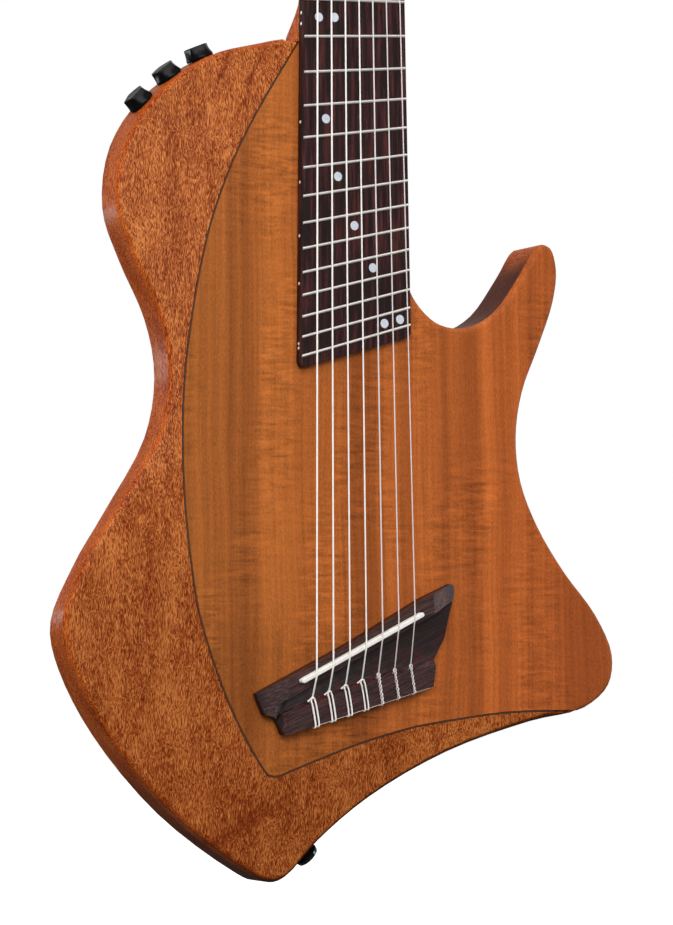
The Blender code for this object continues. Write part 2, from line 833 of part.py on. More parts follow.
def slot_outline(side):
    heights = [z for s, z, _ in roller_places() if s == side]
    low, high = SLOT_START, max(heights) + SLOT_MARGIN
    middle, half = side * (SLOT_INNER + SLOT_OUTER) / 2, (SLOT_OUTER - SLOT_INNER) / 2
    made = []
    for centre, start in ((low + half, math.pi), (high - half, 0.0)):
        for i in range(9):
            angle = start + math.pi * i / 8
            made.append((middle + half * math.cos(angle), centre + half * math.sin(angle)))
    return made


def slot_ramp(side):
    """The slope that leads the strings down into a slot."""
    start, end = SLOT_START + SLOT_OUTER / 2 - RAMP_LENGTH, SLOT_START + SLOT_OUTER / 2
    points = []
    for x in sorted((side * SLOT_INNER, side * SLOT_OUTER)):
        points += [Vector((x, -0.01, start)), Vector((x, 0.0, start)), Vector((x, RAMP_DEPTH, end)), Vector((x, -0.01, end))]
    faces = [[0, 1, 2, 3], [7, 6, 5, 4]] + [[i, 4 + i, 4 + (i + 1) % 4, (i + 1) % 4] for i in range(4)]
    made = add_object("cut", mesh_from("ramp", points, faces))
    made.data.transform(head_matrix())
    return made


def build_neck(looks):
    sections = [
        (BODY_TOP_Z + SEAT_GAP, HEEL_DEPTH, 3.2), (BODY_TOP_Z + 0.16 * HEEL_LENGTH, HEEL_DEPTH * 0.955, 3.1),
        (BODY_TOP_Z + 0.34 * HEEL_LENGTH, HEEL_DEPTH * 0.85, 2.9),
        (BODY_TOP_Z + 0.56 * HEEL_LENGTH, HEEL_DEPTH * 0.69, 2.6),
        (BODY_TOP_Z + 0.78 * HEEL_LENGTH, (HEEL_DEPTH * 0.2 + NECK_DEPTH_HEEL * 0.8), 2.4),
        (BODY_TOP_Z + HEEL_LENGTH, NECK_DEPTH_HEEL, 2.2),
        (BODY_TOP_Z + 4 * HEEL_LENGTH, (NECK_DEPTH_HEEL + NECK_DEPTH_NUT) / 2, 2.2),
        (fret_z(0, 0.0) - 12 * MM, NECK_DEPTH_NUT, 2.2),
        (head_start() - 4 * MM, NECK_DEPTH_NUT + 1.4 * MM, 2.4), (head_start() + 6 * MM, HEAD_THICK - 1 * MM, 3.0),
    ]
    rows = [neck_section(*section) for section in sections]
    count = len(rows[0])
    points = [p for row in rows for p in row]
    faces = [list(range(count)), list(range(len(points) - 1, len(points) - 1 - count, -1))]
    for r in range(len(rows) - 1):
        for i in range(count):
            j = (i + 1) % count
            faces.append([r * count + i, r * count + j, (r + 1) * count + j, (r + 1) * count + i])
    neck = add_object("neck", mesh_from("neck", points, faces))
    shave = head_prism("cut", [(-0.1, 0.0), (0.1, 0.0), (0.1, 0.05), (-0.1, 0.05)], -0.03, 0.0)
    boolean(neck, shave)
    boolean(neck, head_prism("cut", head_outline(), 0.0, HEAD_THICK), "UNION")
    over = box("cut", world(-0.1, -0.05, head_start() - 30 * MM), world(0.1, 0.0, head_start() + 30 * MM))
    boolean(neck, over)
    tenon_top = TOP_THICK + 2 * SEAT_GAP
    low = world(-TENON_HALF, tenon_top, tenon_end())
    high = world(TENON_HALF, tenon_top + TENON_DEPTH, BODY_TOP_Z + 2 * MM)
    boolean(neck, box("cut", low, high), "UNION")
    for side in (-1, 1):
        boolean(neck, head_prism("cut", slot_outline(side), -0.02, HEAD_THICK + 0.02))
        boolean(neck, slot_ramp(side))
    boolean(neck, head_prism("cut", grown(cover_outline(), SEAT_GAP), -0.01, COVER_SUNK + SEAT_GAP))
    cut_rod_channel(neck)
    for side, height, _ in roller_places():
        outer = head_matrix() @ Vector((side * (HEAD_HALF + 5 * MM), ROLLER_DEPTH, height))
        inner = head_matrix() @ Vector((side * (SLOT_INNER - 4.5 * MM), ROLLER_DEPTH, height))
        boolean(neck, bore(AXLE_RADIUS + SEAT_GAP, outer, inner))
    neck.data.materials.append(looks["mahogany_neck"])
    smooth(neck, 40)
    return neck


def rod_span():
    top = fret_z(0, BOARD_HALF_NUT) - 4 * MM
    return top - ROD_LENGTH, top


def cut_rod_channel(neck):
    low, high = rod_span()
    half = ROD_WIDTH / 2 + SEAT_GAP
    start = world(-half, -0.01, low - SEAT_GAP)
    end = world(half, ROD_DEPTH + 2 * SEAT_GAP, head_start() - 12 * MM)
    boolean(neck, box("cut", start, end))


def build_rod(looks):
    low, high = rod_span()
    half = ROD_WIDTH / 2
    made = box("truss_rod", world(-half, SEAT_GAP, low), world(half, SEAT_GAP + ROD_DEPTH, high))
    nut_end = world(0.0, SEAT_GAP + ROD_DEPTH / 2, high + 9 * MM)
    boolean(made, rod("cut", half - 0.2 * MM, world(0.0, SEAT_GAP + ROD_DEPTH / 2, high - 1 * MM), nut_end, 6), "UNION")
    made.data.materials.append(looks["steel"])


def build_board(looks):
    back, front = -SEAT_GAP, -SEAT_GAP - BOARD_THICK
    low = -BOARD_END_MARGIN
    a, b = board_edge(FRET_COUNT, -1, low), board_edge(FRET_COUNT, 1, low)
    across = (b - a).normalized()
    corners = [a + Vector((0.0, BOARD_CORNER)), a + Vector((0.3, 0.3)) * BOARD_CORNER, a + across * BOARD_CORNER]
    corners += [b - across * BOARD_CORNER * 0.4, b + Vector((0.0, BOARD_CORNER * 0.4))]
    corners += [board_edge(0, 1), board_edge(0, -1)]
    board = prism("fretboard", corners, front, back)
    points, faces = [], []
    half, crown = FRET_WIDTH / 2, FRET_WIDTH / 4
    profile = [(-half, 0.4 * MM), (-half, -0.35 * FRET_HEIGHT), (-crown, -FRET_HEIGHT),
               (crown, -FRET_HEIGHT), (half, -0.35 * FRET_HEIGHT), (half, 0.4 * MM)]
    size = len(profile)
    for number in range(1, FRET_COUNT + 1):
        start = len(points)
        for side in (-1, 1):
            end = board_edge(number, side, 0.0, FRET_INSET)
            for shift, height in profile:
                points.append(world(end.x, front + height, end.y + shift))
        faces.append([start + i for i in range(size)])
        faces.append([start + size + i for i in reversed(range(size))])
        for i in range(size):
            j = (i + 1) % size
            faces.append([start + i, start + j, start + size + j, start + size + i])
    frets = add_object("cut", mesh_from("frets", points, faces))
    boolean(board, frets, "UNION")
    board.data.materials.append(looks["ebony"])


def build_nut(looks):
    top = -(STRING_H_NUT - max(STRING_RADII) - SEAT_GAP)
    low, high = SEAT_GAP, SEAT_GAP + NUT_THICK
    corners = [board_edge(0, -1, low), board_edge(0, 1, low), board_edge(0, 1, high), board_edge(0, -1, high)]
    made = prism("nut", corners, top, -SEAT_GAP)
    made.data.materials.append(looks["bone"])


# Bridge and saddle

def ridge_z(x):
    return RIDGE_Z + RIDGE_SLOPE * x


def rear_z(x):
    return REAR_Z + RIDGE_SLOPE * x


def saddle_outline(thick, length):
    """A rounded bar lying along the saddle's line."""
    slope = math.atan(SADDLE_SLOPE)
    along = Vector((math.cos(slope), math.sin(slope)))
    across = Vector((-along.y, along.x))
    middle = along * SADDLE_SHIFT - across * SADDLE_SET_BACK
    radius, made = thick / 2, []
    for end, start in ((1, -math.pi / 2), (-1, math.pi / 2)):
        centre = middle + along * end * (length / 2 - radius)
        for i in range(7):
            angle = start + math.pi * i / 6
            made.append(centre + radius * (math.cos(angle) * along + math.sin(angle) * across))
    return made


def wedge(name, low_edge, high_edge, low_h, high_h):
    """Cuts away what lies above a plane that rises from one plan line to another."""
    (a, b), (c, d) = low_edge, high_edge
    lid = 30 * MM
    points = [world(a[0], -low_h, a[1]), world(b[0], -low_h, b[1]), world(d[0], -high_h, d[1]),
              world(c[0], -high_h, c[1]), world(a[0], -lid, a[1]), world(b[0], -lid, b[1]),
              world(d[0], -lid, d[1]), world(c[0], -lid, c[1])]
    faces = [[0, 1, 2, 3], [7, 6, 5, 4], [0, 4, 5, 1], [1, 5, 6, 2], [2, 6, 7, 3], [3, 7, 4, 0]]
    return add_object(name, mesh_from(name, points, faces))


def plan(x, z):
    return (x * MM, z * MM)


def build_bridge(looks):
    bridge = prism("bridge", scaled(BRIDGE_POINTS), -BRIDGE_HEIGHT - SEAT_GAP, -SEAT_GAP)
    top = BRIDGE_HEIGHT + SEAT_GAP + 0.2 * MM
    left = wedge("cut", (plan(-68, -60), plan(-70, 10)), (plan(-42.5, -60), plan(-42.5, 10)), WING_HEIGHT * 0.6, top)
    boolean(bridge, left)
    right = wedge("cut", (plan(72, 5), plan(62, 50)), (plan(50, -4), plan(40, 46)), WING_HEIGHT * 0.6, top)
    boolean(bridge, right)
    slope = math.atan(SADDLE_SLOPE)
    lip = -SADDLE_SET_BACK - SADDLE_THICK / 2 - GROOVE_WALL
    upper = [Vector((x, SADDLE_SLOPE * x + lip / math.cos(slope))) for x in (-46 * MM, 90 * MM)]
    groove = [upper[0], Vector(plan(-51.5, -29.0)), Vector((-44.0 * MM, ridge_z(-44.0 * MM)))]
    groove += [Vector((90 * MM, ridge_z(90 * MM))), upper[1]]
    boolean(bridge, prism("cut", groove, -0.03, -GROOVE_HEIGHT - SEAT_GAP))
    slot = saddle_outline(SADDLE_THICK + 2 * SEAT_GAP, SADDLE_LENGTH + 2 * SEAT_GAP)
    boolean(bridge, prism("cut", slot, -0.03, -SLOT_FLOOR - SEAT_GAP))
    for index in range(STRING_COUNT):
        x = saddle_point(index).x
        start, end = world(x, -TIE_HOLE_H, ridge_z(x) + 6 * MM), world(x, -TIE_HOLE_H, rear_z(x) - 6 * MM)
        boolean(bridge, rod("cut", TIE_HOLE_RADIUS, start, end, 8))
    rear = [Vector((x, ridge_z(x))) for x in (-80 * MM, 90 * MM)]
    rear += [Vector((90 * MM, -0.09)), Vector((-80 * MM, -0.09))]
    boolean(bridge, prism("cut", rear, -0.03, -TIE_BLOCK_HEIGHT - SEAT_GAP))
    bridge.data.materials.append(looks["rosewood"])


def build_saddle(looks):
    floor = SLOT_FLOOR + 2 * SEAT_GAP + PICKUP_HEIGHT
    top = STRING_H_SADDLE - max(STRING_RADII) - SEAT_GAP
    outline = saddle_outline(SADDLE_THICK, SADDLE_LENGTH)
    made = prism("saddle", outline, -top, -floor - SEAT_GAP)
    made.data.materials.append(looks["bone"])
    strip = prism("saddle_pickup", outline, -floor, -SLOT_FLOOR - 2 * SEAT_GAP)
    strip.data.materials.append(looks["black_plastic"])


# Strings

def roller_centre(index):
    side, height, _ = roller_places()[index]
    return Vector((side * (SLOT_INNER + SLOT_OUTER) / 2, ROLLER_DEPTH, height))


def wrap_points(index, radius, start):
    """The turns on the roller, from where the string meets its front, in the part's frame."""
    side = roller_places()[index][0]
    centre = roller_centre(index)
    reach = (ROLLER_RADIUS + radius + 0.35 * MM) / math.cos(math.pi / 12)
    pitch = side * (2 * radius + 0.5 * MM)
    count = int(WRAP_TURNS * 12)
    aim = centre.z - start.z
    rise = centre.y - start.y
    lead = math.atan2(rise, aim) - math.asin(reach / math.hypot(rise, aim))
    made = []
    for i in range(count + 1):
        angle = -math.pi / 2 - lead + 2 * math.pi * i / 12
        x = centre.x - side * 1.5 * MM + pitch * i / 12
        made.append(head_matrix() @ Vector((x, centre.y + reach * math.sin(angle), centre.z + reach * math.cos(angle))))
    return made


def tie_strand(ahead, out, forwards):
    """One strand over the tie block, from its rear edge to its ridge or back."""
    top, behind = TIE_BLOCK_HEIGHT + SEAT_GAP, ahead + TIE_LEAN
    front, rear, bend = ridge_z(ahead), rear_z(behind), out * math.sqrt(0.5)
    made = [(behind, top, rear - out), (behind, top + bend, rear - bend), (behind, top + out, rear)]
    made += [(ahead, top + out, front), (ahead, top + bend, front + bend), (ahead, top, front + out)]
    return made if forwards else made[::-1]


def tie_points(index, radius):
    """Saddle, tie hole and the two strands that lie over the tie block."""
    x, z = saddle_point(index)
    front, rear = ridge_z(x), rear_z(x)
    out, low = radius + 0.4 * MM, TIE_HOLE_H
    half = (SADDLE_THICK / 2 + SADDLE_SET_BACK) / math.cos(math.atan(SADDLE_SLOPE))
    side, end = x + TIE_LEAN / 2, x + TIE_RIGHT + TIE_LEAN
    made = [(x, STRING_H_SADDLE, z + 1.6 * MM), (x, STRING_H_SADDLE, z - half)]
    made += [(x, STRING_H_SADDLE - 0.7 * MM, z - half - 1.8 * MM), (x, low + 1.1 * MM, front + 2.4 * MM)]
    made += [(x, low, front + 0.4 * MM), (x, low, rear - 0.4 * MM)]
    made += [(x + 0.4 * MM, low + 0.5 * MM, rear - out - 0.1 * MM)]
    made += [(side, low + 2.0 * MM, rear_z(side) - out - 0.3 * MM)]
    made += tie_strand(x - TIE_LEFT, out, True)
    made += [(x - 0.2 * MM, low + 2.9 * MM, front + out + 0.4 * MM)]
    made += [(x + 0.7 * MM, low + 2.9 * MM, front + out + 0.5 * MM)]
    made += tie_strand(x + TIE_RIGHT, out, False)
    made += [(end, low + 2.6 * MM, rear_z(end) - out - 0.1 * MM)]
    return [world(across, -height, up) for across, height, up in made]


def string_points(index):
    radius = STRING_RADII[index]
    nut = nut_point(index)
    back_of_nut = fret_z(0, nut.x) + NUT_THICK + 3 * SEAT_GAP
    run = [world(nut.x, -STRING_H_NUT, back_of_nut), world(nut.x, -STRING_H_NUT, nut.y)]
    start = head_matrix().inverted() @ run[0]
    wraps = wrap_points(index, radius, start)
    return wraps[::-1] + run + tie_points(index, radius)


def build_strings(looks):
    for index in range(STRING_COUNT):
        name = "string_%d" % (STRING_COUNT - index)
        mesh = tube_mesh(name, string_points(index), STRING_RADII[index], STRING_SIDES)
        smooth(add_object(name, mesh, looks["nylon"]), 60)


# Tuners

def plate_x():
    return HEAD_HALF + SEAT_GAP


def gear_x():
    """Distance of a wheel's middle plane from the guitar's middle."""
    return plate_x() + PLATE_THICK + SEAT_GAP + WORM_PITCH_RADIUS + WORM_TIP


def centre_distance():
    return GEAR_PITCH_RADIUS + WORM_PITCH_RADIUS


def gear_mesh():
    """A wheel about Z with straight-flanked teeth that lean with the worm's thread."""
    lead = 2 * math.pi * GEAR_PITCH_RADIUS / GEAR_TEETH
    lean = GEAR_THICK * lead / (2 * math.pi * WORM_PITCH_RADIUS) / GEAR_PITCH_RADIUS
    tip, root = GEAR_PITCH_RADIUS + GEAR_TIP, GEAR_PITCH_RADIUS - GEAR_ROOT
    step = 2 * math.pi / GEAR_TEETH
    bore, bore_sides = GEAR_SEAT_RADIUS + SEAT_GAP, GEAR_TEETH
    points, faces = [], []
    for level in (-0.5, 0.5):
        turn = level * lean
        for tooth in range(GEAR_TEETH):
            for share, radius in ((-0.62, root), (-0.30, tip), (0.30, tip), (0.62, root)):
                angle = turn + step * (tooth + share * GEAR_TOOTH_SHARE * 1.55)
                points.append((radius * math.cos(angle), radius * math.sin(angle), level * GEAR_THICK))
        for i in range(bore_sides):
            angle = turn + step * i
            points.append((bore * math.cos(angle), bore * math.sin(angle), level * GEAR_THICK))
    outer = 4 * GEAR_TEETH
    size = outer + bore_sides
    for i in range(outer):
        j = (i + 1) % outer
        faces.append([i, j, size + j, size + i])
    for i in range(bore_sides):
        j = (i + 1) % bore_sides
        faces.append([outer + j, outer + i, size + outer + i, size + outer + j])
    for base in (0, size):
        for tooth in range(GEAR_TEETH):
            k = (tooth + 1) % GEAR_TEETH
            a, b = base + outer + tooth, base + outer + k
            corners = [base + 4 * tooth + n for n in range(4)] + [base + 4 * k]
            faces.append([a] + corners + [b])
    return mesh_from("wheel", points, faces)


def worm_lead():
    return 2 * math.pi * GEAR_PITCH_RADIUS / GEAR_TEETH


def worm_shaft_span():
    """Front and rear ends of the worm's shaft, behind the roller's axis."""
    front = -ROLLER_DEPTH + TAB_INSET - 0.6 * MM
    rear = HEAD_THICK - ROLLER_DEPTH + BUTTON_STANDOFF
    return front, rear


def worm_object(name, look):
    """Shaft and thread about Z, with the wheel's middle at height 0."""
    front, rear = worm_shaft_span()
    body = WORM_PITCH_RADIUS - WORM_ROOT
    reach = WORM_TURNS * worm_lead() / 2
    profile = [(0.0, front), (WORM_SHAFT, front), (WORM_SHAFT, -reach), (body, -reach), (body, reach),
               (WORM_SHAFT, reach), (WORM_SHAFT, rear), (0.0, rear)]
    shaft = add_object(name, turned_mesh(name, profile, 10), look)
    points, faces = [], []
    steps = THREAD_STEPS
    tip = WORM_PITCH_RADIUS + WORM_TIP
    width = worm_lead() * WORM_TOOTH_SHARE
    profile = [(body - 0.25 * MM, -0.75 * width), (body - 0.25 * MM, 0.75 * width), (tip, 0.30 * width), (tip, -0.30 * width)]
    for i in range(steps + 1):
        angle = 2 * math.pi * (i - steps / 2) / 10
        for radius, shift in profile:
            height = worm_lead() * angle / (2 * math.pi) + shift
            points.append((radius * math.cos(angle), radius * math.sin(angle), height))
    for i in range(steps):
        for k in range(4):
            j = (k + 1) % 4
            faces.append([4 * i + k, 4 * i + j, 4 * i + 4 + j, 4 * i + 4 + k])
    faces.append([0, 1, 2, 3])
    faces.append([4 * steps + k for k in (3, 2, 1, 0)])
    thread = add_object("cut", mesh_from("thread", points, faces))
    boolean(shaft, thread, "UNION")
    return shaft


def button_object(name, look):
    """An oval key that widens to its rounded end, on the rear end of the worm's shaft."""
    _, rear = worm_shaft_span()
    start = rear - 5 * MM
    rows = [(0.42, 0.62, 0.0), (0.52, 0.78, 0.18), (0.92, 0.95, 0.42), (1.0, 1.0, 0.66), (0.9, 0.85, 0.88), (0.62, 0.5, 1.0)]
    points, faces = [], []
    sides = 14
    for wide, thick, share in rows:
        for i in range(sides):
            angle = 2 * math.pi * i / sides
            points.append((BUTTON_HALF_THICK * thick * math.cos(angle), BUTTON_HALF_WIDTH * wide * math.sin(angle),
                           start + BUTTON_LENGTH * share))
    for r in range(len(rows) - 1):
        for i in range(sides):
            j = (i + 1) % sides
            faces.append([r * sides + i, r * sides + j, (r + 1) * sides + j, (r + 1) * sides + i])
    faces.append(list(range(sides)))
    faces.append(list(range(len(points) - 1, len(points) - 1 - sides, -1)))
    made = add_object(name, mesh_from(name, points, faces), look)
    hole = bore(WORM_SHAFT + SEAT_GAP, (0, 0, start - 5 * MM), (0, 0, rear + SEAT_GAP), 12)
    boolean(made, hole)
    smooth(made, 50)
    return made


def roller_mesh():
    """Roller, axle and wheel seat about Z; height 0 is the slot's middle and +Z points outwards."""
    half = (SLOT_OUTER - SLOT_INNER) / 2
    middle = (SLOT_OUTER + SLOT_INNER) / 2
    inner = -half - 3.9 * MM
    shoulder = gear_x() - GEAR_THICK / 2 - SEAT_GAP - middle
    end = gear_x() + GEAR_THICK / 2 + 0.6 * MM - middle
    profile = [(0.0, inner), (AXLE_RADIUS, inner), (AXLE_RADIUS, -half + SEAT_GAP), (ROLLER_RADIUS, -half + SEAT_GAP),
               (ROLLER_RADIUS, half - SEAT_GAP), (AXLE_RADIUS, half - SEAT_GAP), (AXLE_RADIUS, shoulder),
               (GEAR_SEAT_RADIUS, shoulder), (GEAR_SEAT_RADIUS, end), (0.0, end)]
    return turned_mesh("roller", profile, 14)


def side_matrix(side, place, axis):
    """Frame on the head with Z along the given head direction."""
    turn = Vector((0, 0, 1)).rotation_difference(Vector(axis)).to_matrix().to_4x4()
    return head_matrix() @ Matrix.Translation(place) @ turn


def build_plate(side, name, looks):
    heights = [z for s, z, _ in roller_places() if s == side]
    low, high = min(heights) - PLATE_MARGIN, max(heights) + PLATE_MARGIN
    inner, outer = plate_x(), plate_x() + PLATE_THICK
    ends = sorted((side * inner, side * outer))
    middle = PLATE_WIDTH / 2 + TAB_INSET
    plate = box(name, (ends[0], TAB_INSET, low), (ends[1], TAB_INSET + PLATE_WIDTH, high))
    worm_x = gear_x()
    for height in heights:
        z = height - centre_distance()
        for y in (TAB_INSET, TAB_INSET + PLATE_WIDTH - TAB_THICK):
            xs = sorted((side * (outer - 0.4 * MM), side * (worm_x + TAB_HALF)))
            tab = box("cut", (xs[0], y + 0.01 * MM, z - TAB_HALF), (xs[1], y + TAB_THICK - 0.01 * MM, z + TAB_HALF))
            boolean(plate, tab, "UNION")
        start, end = (side * worm_x, -0.02, z), (side * worm_x, 0.04, z)
        boolean(plate, bore(WORM_SHAFT + SEAT_GAP, start, end, 12))
        start, end = (side * (inner - 0.01), ROLLER_DEPTH, height), (side * (outer + 0.01), ROLLER_DEPTH, height)
        boolean(plate, bore(AXLE_RADIUS + SEAT_GAP, start, end))
    plate.data.transform(head_matrix())
    plate.data.materials.append(looks["gold"])


def build_tuners(looks):
    build_plate(-1, "tuner_plate_bass", looks)
    build_plate(1, "tuner_plate_treble", looks)
    roller, wheel = roller_mesh(), gear_mesh()
    roller.materials.append(looks["bone"])
    wheel.materials.append(looks["gold"])
    worm, button = None, None
    for side, height, index in roller_places():
        number = STRING_COUNT - index
        axis = (side, 0, 0)
        middle = side * (SLOT_INNER + SLOT_OUTER) / 2
        place = side_matrix(side, Vector((middle, ROLLER_DEPTH, height)), axis)
        smooth(add_object("tuner_roller_%d" % number, roller, matrix=place))
        place = side_matrix(side, Vector((side * gear_x(), ROLLER_DEPTH, height)), axis)
        add_object("tuner_gear_%d" % number, wheel, matrix=place @ wheel_phase(side))
        key = Vector((side * gear_x(), ROLLER_DEPTH, height - centre_distance()))
        place = side_matrix(side, key, (0, 1, 0))
        if worm is None:
            worm = worm_object("tuner_worm_%d" % number, looks["steel"])
            button = button_object("tuner_button_%d" % number, looks["pearl"])
            worm.matrix_world, button.matrix_world = place, place
            continue
        add_object("tuner_worm_%d" % number, worm.data, matrix=place)
        add_object("tuner_button_%d" % number, button.data, matrix=place)


def wheel_phase(side):
    """Turns the wheel by part of a tooth, so that a gap faces the worm's thread at rest."""
    share = WHEEL_PHASE_BASS if side < 0 else WHEEL_PHASE_TREBLE
    return Matrix.Rotation(share * 2 * math.pi / GEAR_TEETH, 4, "Z")


# Controls

def knob_mesh():
    """A scalloped knob on its shaft about Z; height 0 is the body's edge and +Z points outwards."""
    base = KNOB_STANDOFF
    sides = 3 * KNOB_LOBES
    rows = [(KNOB_RADIUS, 0.0, 0.0), (KNOB_RADIUS, 0.0, 0.16), (KNOB_RADIUS * 0.87, 0.4, 0.42),
            (KNOB_TOP_RADIUS * 0.98, 0.85, 0.68), (KNOB_TOP_RADIUS * 1.02, 1.0, 0.91), (KNOB_TOP_RADIUS * 0.88, 0.8, 1.0)]
    points, faces = [], []
    for radius, scallop, share in rows:
        height = base + KNOB_HEIGHT * share
        for i in range(sides):
            angle = 2 * math.pi * i / sides
            wave = 1.0 - 0.09 * scallop * (0.5 - 0.5 * math.cos(KNOB_LOBES * angle))
            points.append((radius * wave * math.cos(angle), radius * wave * math.sin(angle), height))
    for r in range(len(rows) - 1):
        for i in range(sides):
            j = (i + 1) % sides
            faces.append([r * sides + i, r * sides + j, (r + 1) * sides + j, (r + 1) * sides + i])
    faces.append(list(range(len(points) - 1, len(points) - 1 - sides, -1)))
    shaft_end = -CONTROL_WALL - POT_LENGTH * 0.6
    start = len(points)
    for height in (base, shaft_end):
        for i in range(12):
            angle = 2 * math.pi * i / 12
            points.append((KNOB_SHAFT * math.cos(angle), KNOB_SHAFT * math.sin(angle), height))
    for i in range(12):
        j = (i + 1) % 12
        faces.append([start + j, start + i, start + 12 + i, start + 12 + j])
    faces.append([start + 12 + i for i in range(12)])
    for i in range(12):
        j = (i + 1) % 12
        outer = [(2 * i + k) % sides for k in range(3)]
        faces.append(outer + [start + j, start + i])
    return mesh_from("knob", points, faces)


def pot_mesh():
    """A potentiometer about Z behind the wall, with its shaft hole."""
    front = -CONTROL_WALL - SEAT_GAP
    hole = (KNOB_SHAFT + SEAT_GAP) / math.cos(math.pi / 16)
    profile = [(hole, front), (POT_RADIUS, front), (POT_RADIUS, front - POT_LENGTH), (0.0, front - POT_LENGTH)]
    inner = [(0.0, front - POT_LENGTH * 0.75), (hole, front - POT_LENGTH * 0.75), (hole, front)]
    return turned_mesh("pot", inner[:2] + profile, 16)


def build_controls(looks):
    knob, pot = knob_mesh(), pot_mesh()
    knob.materials.append(looks["black_plastic"])
    pot.materials.append(looks["steel"])
    for number, (point, normal, middle) in enumerate(control_frames(), 1):
        place = axis_matrix(world(point.x, middle, point.y), (normal.x, 0.0, normal.y))
        smooth(add_object("knob_%d" % number, knob, matrix=place), 40)
        smooth(add_object("pot_%d" % number, pot, matrix=place), 40)
    front = CAVITY_FRONT + SEAT_GAP
    x, z = CHAMBER[1] - BATTERY_SIZE[0] - 2 * MM, CHAMBER[2] + 6 * MM
    low = world(x, front, z)
    high = world(x + BATTERY_SIZE[0], front + BATTERY_SIZE[1], z + BATTERY_SIZE[2])
    box("battery", low, high).data.materials.append(looks["steel"])
    x = CHAMBER[1] - BATTERY_SIZE[0] - BOARD_SIZE[0] - 5 * MM
    low = world(x, front, CHAMBER[2] + 3 * MM)
    high = world(x + BOARD_SIZE[0], front + BOARD_SIZE[1], CHAMBER[2] + 3 * MM + BOARD_SIZE[2])
    box("preamp_board", low, high).data.materials.append(looks["green_board"])
    cover = prism("control_cover", grown(cavity_outline(), COVER_LIP), BODY_THICK - COVER_THICK, BODY_THICK)
    cover.data.materials.append(looks["black_plastic"])


def build_jack(looks):
    flat = body_right() - JACK_RECESS
    outer = JACK_FLANGE_THICK + SEAT_GAP
    profile = [(JACK_SOCKET, outer - 24 * MM), (JACK_SOCKET, outer), (JACK_FLANGE, outer), (JACK_FLANGE, SEAT_GAP),
               (JACK_RADIUS, SEAT_GAP), (JACK_RADIUS, -JACK_LENGTH), (0.0, -JACK_LENGTH)]
    mesh = turned_mesh("output_jack", [(0.0, outer - 24 * MM)] + profile, 20)
    place = axis_matrix(world(flat, BODY_THICK / 2, JACK_Z), (1, 0, 0))
    smooth(add_object("output_jack", mesh, looks["gold"], place))


def strap_mesh():
    base = SEAT_GAP
    profile = [(0.0, -STRAP_SCREW_LENGTH), (STRAP_SCREW, -STRAP_SCREW_LENGTH), (STRAP_SCREW, base),
               (STRAP_RADIUS * 0.78, base), (STRAP_RADIUS * 0.62, base + 0.25 * STRAP_HEIGHT),
               (STRAP_RADIUS * 0.66, base + 0.45 * STRAP_HEIGHT), (STRAP_RADIUS, base + 0.66 * STRAP_HEIGHT),
               (STRAP_RADIUS * 0.93, base + 0.88 * STRAP_HEIGHT), (STRAP_RADIUS * 0.55, base + STRAP_HEIGHT),
               (0.0, base + STRAP_HEIGHT)]
    return turned_mesh("strap_button", profile, 18)


def build_strap_buttons(looks):
    mesh = strap_mesh()
    mesh.materials.append(looks["black_gloss"])
    point, normal = strap_frame()
    place = axis_matrix(world(point.x, BODY_THICK / 2, point.y), (normal.x, 0.0, normal.y))
    smooth(add_object("strap_button_tail", mesh, matrix=place))
    x, z = HEEL_STRAP_PLACE
    smooth(add_object("strap_button_heel", mesh, matrix=axis_matrix(world(x, BODY_THICK, z), (0, 1, 0))))


def cover_outline():
    low, high = 3 * MM, 28 * MM
    corners = [(-5.5 * MM, low), (5.5 * MM, low), (6.2 * MM, high - 5 * MM), (0.0, high), (-6.2 * MM, high - 5 * MM)]
    return [Vector(corner) for corner in corners]


def build_rod_cover(looks):
    cover = head_prism("truss_rod_cover", cover_outline(), -COVER_RISE, COVER_SUNK)
    cover.data.materials.append(looks["black_plastic"])


def looks_of():
    return {
        "mahogany": material("mahogany", (0.42, 0.13, 0.03), 0.35),
        "mahogany_neck": material("mahogany_neck", (0.40, 0.12, 0.03), 0.4),
        "koa": material("koa", (0.47, 0.20, 0.05), 0.3),
        "black_line": material("black_line", (0.02, 0.012, 0.01), 0.5),
        "ebony": material("ebony", (0.05, 0.025, 0.028), 0.45),
        "rosewood": material("rosewood", (0.07, 0.03, 0.03), 0.5),
        "bone": material("bone", (0.85, 0.82, 0.74), 0.35),
        "nylon": material("nylon", (0.85, 0.80, 0.74), 0.3),
        "gold": material("gold", (0.75, 0.58, 0.30), 0.25, 1.0),
        "steel": material("steel", (0.62, 0.62, 0.64), 0.3, 1.0),
        "pearl": material("pearl", (0.85, 0.83, 0.80), 0.25),
        "black_plastic": material("black_plastic", (0.02, 0.02, 0.02), 0.35),
        "black_gloss": material("black_gloss", (0.01, 0.01, 0.01), 0.1),
        "green_board": material("green_board", (0.03, 0.20, 0.07), 0.5),
    }


def main():
    for obj in list(bpy.data.objects):
        bpy.data.objects.remove(obj)
    looks = looks_of()
    build_body(body_blank(), looks)
    build_neck(looks)
    build_rod(looks)
    build_board(looks)
    build_nut(looks)
    build_bridge(looks)
    build_saddle(looks)
    build_strings(looks)
    build_tuners(looks)
    build_controls(looks)
    build_jack(looks)
    build_strap_buttons(looks)
    build_rod_cover(looks)


main()
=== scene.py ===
import json
import math

import bmesh
import bpy
from mathutils import Matrix, Vector
from mathutils.geometry import delaunay_2d_cdt


